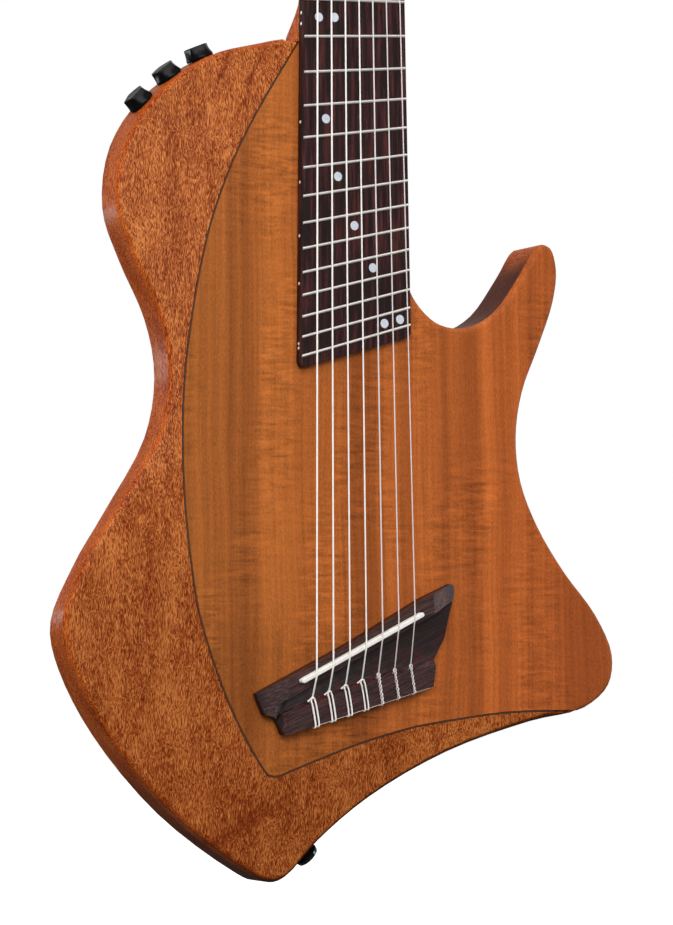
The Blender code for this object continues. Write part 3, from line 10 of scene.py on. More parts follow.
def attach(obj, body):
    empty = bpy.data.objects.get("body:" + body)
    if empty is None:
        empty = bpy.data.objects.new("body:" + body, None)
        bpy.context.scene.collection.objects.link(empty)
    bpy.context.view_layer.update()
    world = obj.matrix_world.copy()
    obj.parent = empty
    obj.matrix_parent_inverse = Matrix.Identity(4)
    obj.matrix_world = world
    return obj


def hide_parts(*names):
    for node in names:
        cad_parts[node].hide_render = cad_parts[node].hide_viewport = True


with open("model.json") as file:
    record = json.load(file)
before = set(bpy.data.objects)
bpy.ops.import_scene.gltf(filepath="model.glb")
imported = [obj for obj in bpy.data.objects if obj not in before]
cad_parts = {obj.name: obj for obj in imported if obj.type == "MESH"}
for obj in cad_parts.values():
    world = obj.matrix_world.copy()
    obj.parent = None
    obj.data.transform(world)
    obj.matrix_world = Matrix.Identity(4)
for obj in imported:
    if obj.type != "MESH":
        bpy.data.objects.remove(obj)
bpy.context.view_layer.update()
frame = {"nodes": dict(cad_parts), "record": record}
MM = 0.001

# The guitar's plan is in millimetres: X across and Z up the strings, from the saddle's middle.
# In the frame, the body's face lies at this Y and the saddle's middle at this Z.
FACE = -0.010
SADDLE = -0.700

FLOAT, VECTOR = "NodeSocketFloat", "NodeSocketVector"
COORDS, LEVEL = ("Coords", VECTOR, None), ("Level", FLOAT)


# Node tools

class Graph:
    """Adds nodes to a tree and joins them, so that a material reads as a list of steps."""

    def __init__(self, tree):
        self.tree = tree

    def node(self, kind, inputs=None, **settings):
        made = self.tree.nodes.new(kind)
        for key, value in settings.items():
            setattr(made, key, value)
        return self.fill(made, inputs or {})

    def fill(self, made, inputs):
        """Sets a node's inputs, each by a plain value or by a link."""
        for key, value in inputs.items():
            self.feed(made.inputs[key], value)
        return made

    def feed(self, socket, value):
        if isinstance(value, bpy.types.NodeSocket):
            self.tree.links.new(value, socket)
        elif value is not None:
            socket.default_value = value

    def math(self, operation, a, b=None):
        made = self.node("ShaderNodeMath", operation=operation)
        self.feed(made.inputs[0], a)
        self.feed(made.inputs[1], b)
        return made.outputs[0]

    def plus(self, a, b):
        return self.math("ADD", a, b)

    def minus(self, a, b):
        return self.math("SUBTRACT", a, b)

    def times(self, a, b):
        return self.math("MULTIPLY", a, b)

    def vector(self, operation, a, b=None, scale=None):
        made = self.node("ShaderNodeVectorMath", operation=operation)
        self.feed(made.inputs[0], a)
        self.feed(made.inputs[1], b)
        if scale is not None:
            self.feed(made.inputs["Scale"], scale)
        return made.outputs[0]

    def split(self, vector):
        return self.node("ShaderNodeSeparateXYZ", {"Vector": vector}).outputs

    def mapped(self, coords, **change):
        """Coordinates moved by Location, turned by Rotation or stretched by Scale."""
        return self.node("ShaderNodeMapping", {"Vector": coords, **change}).outputs[0]

    def grain(self, coords, sizes, detail=2.0, roughness=0.5, distortion=0.0):
        """Noise with spots of about the given millimetres along each axis."""
        scaled = self.mapped(coords, Scale=tuple(1000 / size for size in sizes))
        made = self.node("ShaderNodeTexNoise", {"Vector": scaled, "Scale": 1.0, "Detail": detail,
                                                "Roughness": roughness, "Distortion": distortion})
        return made.outputs["Fac"]

    def remap(self, value, low, high, to_low=0.0, to_high=1.0, smooth=True):
        made = self.node("ShaderNodeMapRange", {"Value": value, "From Min": low, "From Max": high,
                                                "To Min": to_low, "To Max": to_high})
        made.interpolation_type = "SMOOTHSTEP" if smooth else "LINEAR"
        made.clamp = True
        return made.outputs["Result"]

    def ramp(self, value, stops):
        made = self.node("ShaderNodeValToRGB", {"Fac": value})
        marks = made.color_ramp.elements
        while len(marks) < len(stops):
            marks.new(0.5)
        for mark, (place, colour) in zip(marks, stops):
            mark.position = place
            mark.color = (*colour, 1.0)
        return made.outputs["Color"]

    def mix(self, share, a, b, blend="MIX"):
        made = self.node("ShaderNodeMix", data_type="RGBA", blend_type=blend)
        made.clamp_factor = True
        self.feed(made.inputs[0], share)
        for place, colour in ((6, a), (7, b)):
            self.feed(made.inputs[place], (*colour, 1.0) if isinstance(colour, tuple) else colour)
        return made.outputs[2]


def group(name, inputs, outputs, build):
    """A node group of masks and coordinates; build gets the graph, its inputs and its outputs."""
    tree = bpy.data.node_groups.new(name, "ShaderNodeTree")
    for title, kind, value in inputs:
        socket = tree.interface.new_socket(title, in_out="INPUT", socket_type=kind)
        if value is not None:
            socket.default_value = value
    for title, kind in outputs:
        tree.interface.new_socket(title, in_out="OUTPUT", socket_type=kind)
    graph = Graph(tree)
    source = graph.node("NodeGroupInput")
    result = graph.node("NodeGroupOutput")
    build(graph, source.outputs, result.inputs)
    return tree


def use(graph, tree, inputs):
    return graph.node("ShaderNodeGroup", inputs, node_tree=tree).outputs


def new_material(name):
    made = bpy.data.materials.new(name)
    made.use_nodes = True
    graph = Graph(made.node_tree)
    shader = made.node_tree.nodes["Principled BSDF"]
    coords = graph.node("ShaderNodeTexCoord").outputs["Object"]
    return made, graph, shader, coords


# Shared effects

def build_bent(graph, source, result):
    """Coordinates that wander, so that a pattern laid on them isn't straight."""
    scaled = graph.vector("SCALE", source["Coords"], scale=source["Fineness"])
    made = graph.node("ShaderNodeTexNoise", {"Vector": scaled, "Scale": 1.0, "Detail": 1.0})
    off = graph.vector("SUBTRACT", made.outputs["Color"], (0.5, 0.5, 0.5))
    off = graph.vector("SCALE", off, scale=source["Reach"])
    graph.feed(result["Coords"], graph.vector("ADD", source["Coords"], off))


BENT = group("bent coordinates", [COORDS, ("Fineness", FLOAT, 60.0), ("Reach", FLOAT, 0.004)],
             [("Coords", VECTOR)], build_bent)


def build_flecks(graph, source, result):
    """Short light and dark flecks along Z, as in mahogany cut through its wandering grain."""
    fine = graph.grain(source["Coords"], (0.30, 0.30, 2.6), 1.0, 0.5)
    long = graph.grain(source["Coords"], (0.75, 0.75, 7.0), 2.0, 0.6)
    cloud = graph.grain(source["Coords"], (13.0, 13.0, 45.0), 2.0, 0.55)
    level = graph.plus(graph.times(fine, 0.62), graph.times(long, 0.30))
    level = graph.plus(level, graph.times(cloud, 0.18))
    graph.feed(result["Level"], graph.remap(level, source["Low"], source["High"], smooth=False))


FLECKS = group("flecks", [COORDS, ("Low", FLOAT, 0.458), ("High", FLOAT, 0.648)], [LEVEL], build_flecks)


def build_streaks(graph, source, result):
    """Fine lines along Z."""
    thin = graph.grain(source["Coords"], (2.6, 2.6, 240.0), 3.0, 0.65)
    graph.feed(result["Level"], graph.minus(thin, 0.5))


STREAKS = group("streaks", [COORDS], [LEVEL], build_streaks)


def build_flame(graph, source, result):
    """Fine ripples across the grain, strong in some places and faint in others."""
    ripple = graph.grain(source["Coords"], (15.0, 15.0, 2.3), 2.0, 0.6, 0.5)
    where = graph.grain(source["Coords"], (34.0, 34.0, 85.0), 1.0)
    mask = graph.times(graph.minus(ripple, 0.5), graph.remap(where, 0.40, 0.62, 0.15, 1.0))
    graph.feed(result["Level"], mask)


FLAME = group("flame", [COORDS], [LEVEL], build_flame)


# Materials

def shaded(graph, colour, light):
    """A colour made lighter or darker by a factor."""
    grey = graph.node("ShaderNodeCombineColor", {"Red": light, "Green": light, "Blue": light}).outputs[0]
    return graph.mix(1.0, colour, grey, "MULTIPLY")


def band(graph, coords, x, z, turn, width, length):
    """A soft band about a place of the plan, turned in the face's plane."""
    moved = graph.mapped(coords, Location=(-x * MM, 0.0, -SADDLE - z * MM))
    split = graph.split(graph.mapped(moved, Rotation=(0.0, math.radians(turn), 0.0)))
    across = graph.remap(graph.math("ABSOLUTE", split["X"]), 0.0, width * MM, 1.0, 0.0)
    along = graph.remap(graph.math("ABSOLUTE", split["Z"]), 0.3 * length * MM, length * MM, 1.0, 0.0)
    return graph.times(across, along)


def soft_spot(graph, coords, x, z, radius):
    """A mask that is 1 at a place of the plan and falls off around it."""
    moved = graph.vector("SUBTRACT", coords, (x * MM, 0.0, SADDLE + z * MM))
    flat = graph.vector("MULTIPLY", moved, (1.0, 0.0, 1.0))
    made = graph.node("ShaderNodeVectorMath", operation="LENGTH")
    graph.feed(made.inputs[0], flat)
    return graph.remap(made.outputs["Value"], 0.55 * radius * MM, radius * MM, 1.0, 0.0)


MAHOGANY_TONES = [(0.0, (0.150, 0.020, 0.003)), (0.30, (0.265, 0.050, 0.008)),
                  (0.60, (0.41, 0.105, 0.020)), (1.0, (0.64, 0.215, 0.055))]

# Dark bands of the body's grain: place in the plan, turn in degrees, width, length and amount
BODY_BANDS = [(-66.0, -92.0, -62.0, 7.0, 34.0, 0.32), (-75.0, 312.0, -24.0, 1.6, 34.0, 0.30),
              (-62.0, 300.0, -24.0, 1.6, 44.0, 0.30)]

# Painted shade on the body's lower left and the horn's inner wall: place in the plan, radius, amount and how
# far behind the face it starts
PAINTED_SHADE_PLACES = [(-80.0, -60.0, 150.0, 0.14, -9.0), (88.0, 205.0, 40.0, 0.88, 2.0),
               (-95.0, -120.0, 75.0, 0.55, 12.0)]


def mahogany(name, bands=(), shade=1.0, painted_shade_places=()):
    """Flecked red-brown wood with painted shade: what turns away from the front is painted redder, the lower
    right roundover painted near black, and the given places painted darker.
    """
    made, graph, shader, coords = new_material(name)
    bent = use(graph, BENT, {"Coords": coords, "Fineness": 70.0, "Reach": 0.005})["Coords"]
    level = use(graph, FLECKS, {"Coords": bent})["Level"]
    for *place, amount in bands:
        level = graph.minus(level, graph.times(band(graph, bent, *place), amount))
    colour = graph.ramp(level, [(at, tuple(v * shade for v in tone)) for at, tone in MAHOGANY_TONES])
    depth = graph.split(coords)["Y"]
    # Painted shade: each listed place is darkened towards a near-black brown.
    for x, z, radius, amount, start in painted_shade_places:
        shade_depth = graph.remap(depth, FACE + start * MM, FACE + (start + 3.0) * MM)
        mask = graph.times(soft_spot(graph, coords, x, z, radius), graph.times(shade_depth, amount))
        colour = graph.mix(mask, colour, (0.030, 0.004, 0.001))
    # Painted shade by facing: what turns away from the front is painted redder, and what faces down and right
    # is painted near black.
    normal = graph.split(graph.node("ShaderNodeNewGeometry").outputs["Normal"])
    turned = graph.remap(normal["Y"], -0.97, -0.80)
    low = graph.remap(graph.minus(normal["X"], normal["Z"]), 0.15, 0.55)
    painted_redder = graph.mix(1.0, colour, (1.0, 0.70, 0.42), "MULTIPLY")
    colour = graph.mix(graph.times(turned, 0.8), colour, painted_redder)
    colour = graph.mix(graph.times(graph.times(turned, low), 0.8), colour, (0.020, 0.005, 0.002))
    bump = graph.node("ShaderNodeBump", {"Strength": 0.10, "Distance": 0.0002, "Height": level})
    graph.fill(shader, {
        "Base Color": colour,
        "Roughness": graph.remap(level, 0.0, 1.0, 0.50, 0.38, smooth=False),
        "Specular IOR Level": 0.05,
        "Coat Weight": graph.remap(turned, 0.0, 1.0, 0.04, 0.10, smooth=False),
        "Coat Roughness": 0.20,
        "Normal": bump.outputs[0]})
    return made


# How light the koa is across the plan: millimetres from the middle and brightness
KOA_BANDS = [
    (-100, 0.84), (-86, 0.88), (-78, 0.88), (-75, 0.62), (-71, 0.84), (-66, 0.66), (-61, 0.84), (-52, 1.08),
    (-42, 1.06), (-31, 0.90), (-24, 0.98), (-12, 1.04), (-6, 0.90), (2, 0.66), (10, 0.68), (20, 0.96),
    (27, 0.98), (33, 0.78), (43, 1.06), (53, 0.90), (59, 0.74), (65, 0.90), (71, 0.84), (77, 0.66),
    (86, 1.06), (97, 0.80), (107, 0.96), (116, 0.78), (124, 0.84), (135, 0.75), (150, 0.66), (168, 0.70),
]


def koa():
    """Golden wood in light and dark bands, warmer towards the treble side, with a rippled figure."""
    made, graph, shader, coords = new_material("koa_look")
    bent = use(graph, BENT, {"Coords": coords, "Fineness": 9.0, "Reach": 0.007})["Coords"]
    low, high = KOA_BANDS[0][0] * MM, KOA_BANDS[-1][0] * MM
    share = graph.remap(graph.split(bent)["X"], low, high, smooth=False)
    stops = []
    for x, bright in KOA_BANDS:
        warm = max(0.0, min(1.0, (x + 100.0) / 240.0))
        tone = ((0.405 + 0.075 * warm) * bright, (0.121 - 0.008 * warm) * bright ** 1.1, 0.0235 * bright)
        stops.append(((x * MM - low) / (high - low), tone))
    base = graph.ramp(share, stops)
    light = graph.plus(1.0, graph.times(use(graph, FLAME, {"Coords": bent})["Level"], 1.35))
    light = graph.plus(light, graph.times(use(graph, STREAKS, {"Coords": bent})["Level"], 0.9))
    fine = graph.grain(coords, (0.55, 0.55, 1.7), 2.0, 0.7)
    light = graph.plus(light, graph.times(graph.minus(fine, 0.5), 1.15))
    light = graph.minus(light, graph.times(soft_spot(graph, coords, -52.0, -42.0, 75.0), 0.20))
    graph.fill(shader, {"Base Color": shaded(graph, base, light), "Roughness": 0.42,
                        "Specular IOR Level": 0.06, "Coat Weight": 0.06, "Coat Roughness": 0.08})
    return made


FRET_FOOT = FACE - 4.80 * MM


def fret_board():
    """Dark wood with reddish lines along Z; what stands in front of the board's face is fret metal."""
    made, graph, shader, coords = new_material("board_look")
    wide = graph.grain(coords, (2.4, 2.4, 45.0), 2.0, 0.6)
    pores = graph.grain(coords, (0.45, 0.45, 5.0), 1.5)
    base = graph.mix(graph.remap(wide, 0.42, 0.68), (0.017, 0.0085, 0.0085), (0.080, 0.021, 0.019))
    base = graph.mix(graph.times(graph.remap(pores, 0.52, 0.66), 0.6), base, (0.008, 0.004, 0.004))
    metal = graph.remap(graph.split(coords)["Y"], FRET_FOOT - 0.15 * MM, FRET_FOOT + 0.15 * MM, 1.0, 0.0)
    graph.fill(shader, {
        "Base Color": graph.mix(metal, base, (0.90, 0.87, 0.82)),
        "Roughness": graph.remap(metal, 0.0, 1.0, 0.42, 0.30, smooth=False),
        "Metallic": graph.times(metal, 0.5), "Specular IOR Level": 0.12})
    return made


def bridge_wood():
    """Rosewood with fine lines along the bridge, red heartwood by the ties and painted shade that darkens the
    trough.
    """
    made, graph, shader, coords = new_material("bridge_look")
    turned = graph.mapped(coords, Rotation=(0.0, math.radians(22.0), 0.0))
    lines = graph.grain(turned, (26.0, 1.1, 0.75), 2.5, 0.6)
    patches = graph.grain(turned, (9.0, 3.0, 2.6), 2.0, 0.6)
    pores = graph.grain(turned, (3.5, 0.5, 0.45), 1.5)
    base = graph.mix(graph.remap(lines, 0.38, 0.66), (0.024, 0.0135, 0.0130), (0.088, 0.042, 0.038))
    place = graph.split(coords)
    below_top = graph.remap(place["Y"], FACE - 7.75 * MM, FACE - 7.0 * MM)
    above_floor = graph.remap(place["Y"], FACE - 4.6 * MM, FACE - 2.8 * MM, 1.0, 0.0)
    red = graph.remap(graph.times(below_top, above_floor), 0.0, 1.0, 0.04, 0.85, smooth=False)
    red = graph.times(graph.remap(patches, 0.50, 0.62), red)
    red = graph.times(red, graph.remap(place["X"], -42.0 * MM, -36.0 * MM, 0.1, 1.0))
    base = graph.mix(red, base, (0.170, 0.022, 0.026))
    base = graph.mix(graph.times(graph.remap(pores, 0.53, 0.64), 0.55), base, (0.008, 0.005, 0.005))
    # Painted shade: the deeper the surface lies in the trough, the darker it is painted.
    shade_depth = graph.remap(place["Y"], FACE - 6.2 * MM, FACE - 4.0 * MM, 0.0, 0.72)
    graph.fill(shader, {
        "Base Color": graph.mix(shade_depth, base, (0.006, 0.003, 0.003)),
        "Roughness": graph.remap(pores, 0.4, 0.6, 0.34, 0.46, smooth=False),
        "Specular IOR Level": 0.20})
    return made


def plain(name, colour, roughness, metallic=0.0, mottle=0.06, size=3.0, alpha=1.0, shine=0.5):
    """An even finish with a slight mottle."""
    made, graph, shader, coords = new_material(name)
    spots = graph.grain(coords, (size, size, size), 3.0)
    light = graph.remap(spots, 0.3, 0.7, 1.0 - mottle, 1.0 + mottle, smooth=False)
    rough = graph.remap(spots, 0.3, 0.7, roughness * 0.85, roughness * 1.15, smooth=False)
    graph.fill(shader, {"Base Color": shaded(graph, colour, light), "Roughness": rough,
                        "Metallic": metallic, "Specular IOR Level": shine, "Alpha": alpha})
    return made


LOOKS = {
    "mahogany": mahogany("mahogany_look", bands=BODY_BANDS, painted_shade_places=PAINTED_SHADE_PLACES),
    "mahogany_neck": mahogany("neck_look", shade=1.15),
    "koa": koa(),
    "black_line": plain("purfling_look", (0.060, 0.024, 0.010), 0.5),
    "ebony": fret_board(),
    "rosewood": bridge_wood(),
    "bone": plain("bone_look", (0.88, 0.85, 0.80), 0.35),
    "nylon": plain("nylon_look", (0.95, 0.91, 0.85), 0.30),
    "clear_nylon": plain("clear_nylon_look", (0.88, 0.80, 0.78), 0.18, alpha=0.74),
    "gold": plain("gold_look", (0.80, 0.60, 0.30), 0.22, 1.0),
    "steel": plain("steel_look", (0.62, 0.62, 0.64), 0.3, 1.0),
    "pearl": plain("pearl_look", (0.62, 0.67, 0.74), 0.22, mottle=0.10, size=1.6),
    "black_plastic": plain("black_look", (0.0030, 0.0030, 0.0035), 0.26, shine=0.10),
    "black_gloss": plain("gloss_look", (0.004, 0.004, 0.004), 0.09),
    "green_board": plain("circuit_look", (0.03, 0.20, 0.07), 0.5),
}


# Plan of the strings, frets and board

SADDLE_SPREAD, NUT_SPREAD, SADDLE_SLOPE = 61.0, 43.4, 0.464
BASS_SCALE, TREBLE_SCALE, STRING_COUNT, FRET_COUNT = 685.8, 640.0, 7, 24
NUT_HEIGHT, SADDLE_HEIGHT = 6.1, 13.1
SADDLE_TOP = 12.45
STRING_RADII = [0.50, 0.48, 0.45, 0.42, 0.42, 0.36, 0.33]
BOARD_TOP, BOARD_HALF_END, BOARD_HALF_NUT = 4.5, 34.6, 27.6


def plan_point(x, z, height):
    """A place in the guitar's plan, in millimetres from the saddle's middle, at a height over the face."""
    return Vector((x * MM, FACE - height * MM, SADDLE + z * MM))


def saddle_place(index):
    x = -SADDLE_SPREAD / 2 + SADDLE_SPREAD * index / (STRING_COUNT - 1)
    return x, SADDLE_SLOPE * x


def nut_place(index):
    ends = []
    for end, scale in ((0, BASS_SCALE), (STRING_COUNT - 1, TREBLE_SCALE)):
        x, z = saddle_place(end)
        aside = -NUT_SPREAD / 2 + NUT_SPREAD * end / (STRING_COUNT - 1) - x
        ends.append(z + math.sqrt(scale ** 2 - aside ** 2))
    share = index / (STRING_COUNT - 1)
    return -NUT_SPREAD / 2 + NUT_SPREAD * share, ends[0] + (ends[1] - ends[0]) * share


def fret_height(number, x):
    """How far up the plan a fret lies at a place across it; fret 0 is the nut."""
    share = 2.0 ** (-number / 12.0)
    ends = []
    for end in (0, STRING_COUNT - 1):
        (sx, sz), (nx, nz) = saddle_place(end), nut_place(end)
        ends.append((sx + (nx - sx) * share, sz + (nz - sz) * share))
    (ax, az), (bx, bz) = ends
    return az + (bz - az) * (x - ax) / (bx - ax)


def space_middle(number, x):
    return (fret_height(number, x) + fret_height(number - 1, x)) / 2


def board_half(z):
    start, end = fret_height(FRET_COUNT, 0.0) - 6.5, fret_height(0, 0.0)
    return BOARD_HALF_END + (BOARD_HALF_NUT - BOARD_HALF_END) * (z - start) / (end - start)


# Pieces

def add_object(name, data):
    made = bpy.data.objects.new(name, data)
    bpy.context.scene.collection.objects.link(made)
    return made


def finish_piece(made, body="guitar", replaced=()):
    """Joins a finished piece to the body it rides on and hides the nodes it stands for."""
    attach(made, body)
    if replaced:
        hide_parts(*replaced)


def tidy_normals(mesh):
    bm = bmesh.new()
    bm.from_mesh(mesh)
    bmesh.ops.recalc_face_normals(bm, faces=bm.faces)
    if bm.calc_volume(signed=True) < 0:
        bmesh.ops.reverse_faces(bm, faces=bm.faces)
    bm.to_mesh(mesh)
    bm.free()


def soften(mesh, angle):
    """Smooth shading, except over edges that bend by more than the angle in degrees."""
    mesh.shade_smooth()
    mesh.set_sharp_from_angle(angle=math.radians(angle))


def keep_flat(made, keep_sharp):
    """Shades broad faces flat where small faces meet them."""
    weighted = made.modifiers.new("flat faces", "WEIGHTED_NORMAL")
    weighted.mode, weighted.weight, weighted.keep_sharp = "FACE_AREA", 50, keep_sharp


def new_object(name, points, faces, look, angle):
    mesh = bpy.data.meshes.new(name)
    mesh.from_pydata([tuple(p) for p in points], [], faces)
    tidy_normals(mesh)
    mesh.materials.append(LOOKS[look])
    soften(mesh, angle)
    return add_object(name, mesh)


def ring_faces(rings, count):
    """Faces of a skin over rings of points that follow one another, with a flat face on each end."""
    faces = []
    for start in range(0, (rings - 1) * count, count):
        for i in range(count):
            j = (i + 1) % count
            faces.append([start + i, start + j, start + count + j, start + count + i])
    last = (rings - 1) * count
    return faces + [list(range(count))[::-1], list(range(last, last + count))]


def tube(path, radius, sides=12):
    """Points and faces of a round tube with closed ends along a path."""
    last = len(path) - 1
    side, made = None, []
    for i, place in enumerate(path):
        along = (path[min(i + 1, last)] - path[max(i - 1, 0)]).normalized()
        side = along.orthogonal() if side is None else side - along * side.dot(along)
        side = side.normalized()
        other = along.cross(side)
        for k in range(sides):
            angle = 2 * math.pi * k / sides
            made.append(place + radius * (math.cos(angle) * side + math.sin(angle) * other))
    return made, ring_faces(len(path), sides)


def smooth_path(places, steps):
    """A centripetal curve through places of the plan, each given by its x, height and z."""
    given = [plan_point(x, z, height) for x, height, z in places]
    given = [2 * given[0] - given[1]] + given + [2 * given[-1] - given[-2]]
    made = []
    for a, b, c, d in zip(given, given[1:], given[2:], given[3:]):
        t1 = math.sqrt((b - a).length)
        t2 = t1 + math.sqrt((c - b).length)
        t3 = t2 + math.sqrt((d - c).length)
        for k in range(steps):
            t = t1 + (t2 - t1) * k / steps
            p1 = a + (b - a) * (t / t1)
            p2 = b + (c - b) * ((t - t1) / (t2 - t1))
            p3 = c + (d - c) * ((t - t2) / (t3 - t2))
            q1 = p1 + (p2 - p1) * (t / t2)
            q2 = p2 + (p3 - p2) * ((t - t1) / (t3 - t1))
            made.append(q1 + (q2 - q1) * ((t - t1) / (t2 - t1)))
    return made + [given[-2]]


# Pieces taken from the CAD nodes

# A fret's reach from its middle line, the share of it kept at crown and foot, and where the crown starts
FRET_REACH, CROWN_SHARE, FOOT_SHARE, CROWN_START = 1.35, 0.42, 0.62, 0.8


def narrow_frets(mesh):
    """Draws each fret's sides in towards its middle line, so that its crown is a fine bright line."""
    for vertex in mesh.vertices:
        x, height, z = vertex.co.x / MM, (FACE - vertex.co.y) / MM, (vertex.co.z - SADDLE) / MM
        if height < BOARD_TOP - 0.05 or abs(x) > board_half(z) - 0.4:
            continue
        rows = (fret_height(number, x) for number in range(1, FRET_COUNT + 1))
        middle = min(rows, key=lambda row: abs(row - z))
        if abs(z - middle) < FRET_REACH:
            kept = CROWN_SHARE if height > BOARD_TOP + CROWN_START else FOOT_SHARE
            vertex.co.z = SADDLE + (middle + (z - middle) * kept) * MM


# How far the neck's bass side moves at heights of the plan
FLARE = [(318.0, -1.6), (328.0, -2.4), (336.0, -0.4), (343.0, 1.2), (352.0, 2.4), (380.0, 2.4), (430.0, 0.0)]


def flare_heel(mesh):
    """Curves the neck's bass side out into the heel."""
    for vertex in mesh.vertices:
        x, z = vertex.co.x / MM, (vertex.co.z - SADDLE) / MM
        for (az, a), (bz, b) in zip(FLARE, FLARE[1:]):
            if x < 0 and az <= z < bz:
                vertex.co.x += (a + (b - a) * (z - az) / (bz - az)) * min(1.0, -x / 20.0) * MM


RESHAPED = {"fretboard": narrow_frets, "neck": flare_heel}
BEVELS = {"nut": 0.5, "truss_rod_cover": 0.25, "control_cover": 0.3}
SHIFTS = {"strap_button_tail": (-1.5, 0.0, 2.3)}
ANGLES = {"fretboard": 62.0, "body": 50.0, "top_plate": 50.0, "neck": 42.0}
KEEP_TRIANGLES = ("tuner_plate_bass", "tuner_plate_treble")


def dress_node(name, body, bevel, angle):
    """A copy of a CAD node with its loose triangles merged, smooth shading and fine edges."""
    mesh = frame["nodes"][name].data.copy()
    mesh.name = name + "_skin"
    bm = bmesh.new()
    bm.from_mesh(mesh)
    bmesh.ops.remove_doubles(bm, verts=bm.verts, dist=2e-6)
    if name not in KEEP_TRIANGLES:
        bmesh.ops.dissolve_limit(bm, angle_limit=math.radians(0.6), verts=bm.verts, edges=bm.edges)
    bm.to_mesh(mesh)
    bm.free()
    mesh.transform(Matrix.Translation(Vector(SHIFTS.get(name, (0.0, 0.0, 0.0))) * MM))
    if name in RESHAPED:
        RESHAPED[name](mesh)
    for item in list(mesh.attributes):
        if item.name == "custom_normal":
            mesh.attributes.remove(item)
    soften(mesh, angle)
    made = add_object(name + "_skin", mesh)
    if bevel:
        rounded = made.modifiers.new("edge", "BEVEL")
        rounded.width, rounded.segments = bevel * MM, 2
        rounded.limit_method, rounded.angle_limit = "ANGLE", math.radians(50.0)
    keep_flat(made, not bevel)
    finish_piece(made, body, [name])


def dress_frame(own):
    """Gives each CAD node its finish; those that a finer piece stands for keep only their colour."""
    slots = {row["node"]: row["material_slot"] for row in frame["record"]["subparts"]}
    bodies = {node: body for body, nodes in frame["record"]["behaviour"]["bodies"].items() for node in nodes}
    for name, obj in frame["nodes"].items():
        obj.data.materials.clear()
        obj.data.materials.append(LOOKS[slots[name]])
        for face in obj.data.polygons:
            face.material_index = 0
        if name not in own:
            dress_node(name, bodies[name], BEVELS.get(name, 0.0), ANGLES.get(name, 40.0))


# Dots and screws, set on points by a node tree

def disc_tree(name, sides, look):
    """Geometry Nodes: a short cylinder on every point, facing along the point's own direction."""
    tree = bpy.data.node_groups.new(name, "GeometryNodeTree")
    tree.interface.new_socket("Points", in_out="INPUT", socket_type="NodeSocketGeometry")
    for title in ("Radius", "Height", "Slot Width", "Slot Depth"):
        tree.interface.new_socket(title, in_out="INPUT", socket_type=FLOAT)
    tree.interface.new_socket("Pieces", in_out="OUTPUT", socket_type="NodeSocketGeometry")
    graph = Graph(tree)
    source, result = graph.node("NodeGroupInput").outputs, graph.node("NodeGroupOutput").inputs
    height, width, depth = source["Height"], source["Slot Width"], source["Slot Depth"]
    head = graph.node("GeometryNodeMeshCylinder",
                      {"Vertices": sides, "Radius": source["Radius"], "Depth": height}).outputs["Mesh"]
    wide = graph.times(source["Radius"], 3.0)
    size = graph.node("ShaderNodeCombineXYZ", {"X": wide, "Y": width, "Z": depth})
    lift = graph.node("ShaderNodeCombineXYZ", {"Z": graph.times(height, 0.5)})
    bar = graph.node("GeometryNodeMeshCube", {"Size": size.outputs[0]})
    bar = graph.node("GeometryNodeTransform", {"Geometry": bar.outputs[0], "Translation": lift.outputs[0]})
    cut = graph.node("GeometryNodeMeshBoolean", {"Mesh 1": head, "Mesh 2": bar.outputs[0]},
                     operation="DIFFERENCE", solver="EXACT")
    slotted = graph.node("FunctionNodeCompare", {"A": width, "B": 1e-6}, data_type="FLOAT",
                         operation="GREATER_THAN")
    chosen = graph.node("GeometryNodeSwitch",
                        {"Switch": slotted.outputs[0], "False": head, "True": cut.outputs[0]},
                        input_type="GEOMETRY")
    facing = graph.node("GeometryNodeInputNamedAttribute", {"Name": "facing"}, data_type="FLOAT_VECTOR")
    turn = graph.node("FunctionNodeAlignRotationToVector", {"Vector": facing.outputs[0]}, axis="Z")
    placed = graph.node("GeometryNodeInstanceOnPoints", {
        "Points": source["Points"], "Instance": chosen.outputs[0], "Rotation": turn.outputs[0]})
    real = graph.node("GeometryNodeRealizeInstances", {"Geometry": placed.outputs[0]})
    done = graph.node("GeometryNodeSetMaterial", {"Geometry": real.outputs[0], "Material": LOOKS[look]})
    graph.feed(result["Pieces"], done.outputs[0])
    return tree


def set_discs(name, places, look, sizes, sides):
    """Runs the node tree on points and keeps the result as a plain mesh; sizes are in millimetres."""
    mesh = bpy.data.meshes.new(name + "_points")
    mesh.from_pydata([tuple(place) for place, _ in places], [], [])
    facing = mesh.attributes.new("facing", "FLOAT_VECTOR", "POINT")
    for row, (_, direction) in zip(facing.data, places):
        row.vector = direction
    holder = add_object(name + "_points", mesh)
    modifier = holder.modifiers.new("discs", "NODES")
    modifier.node_group = disc_tree(name, sides, look)
    items = modifier.node_group.interface.items_tree
    keys = {item.name: item.identifier for item in items if item.in_out == "INPUT"}
    for title, value in sizes.items():
        modifier[keys[title]] = value * MM
    bpy.context.view_layer.update()
    graph = bpy.context.evaluated_depsgraph_get()
    result = bpy.data.meshes.new_from_object(holder.evaluated_get(graph))
    bpy.data.objects.remove(holder)
    soften(result, 35.0)
    finish_piece(add_object(name, result))


# Dots: places in the plan, and on the board's side the fret and a shift
FACE_DOTS = [(-22.3, 339.6), (-12.5, 340.5), (-18.2, 284.7), (-10.9, 253.9), (-0.8, 227.9), (10.6, 205.7),
             (17.7, 175.8), (27.6, 178.5)]
LOWER_DOTS = (3, 5, 7, 9)
SIDE_DOTS = [(12, -3.0), (12, 3.0), (15, 0.0), (17, 0.0), (19, 0.0), (21, 0.0), (24, -1.2), (24, 1.2)]
SIDE_DOTS += [(number, 0.0) for number in LOWER_DOTS]
LOWER_DOTS_X, SIDE_DOT_DEPTH = -21.0, 2.0


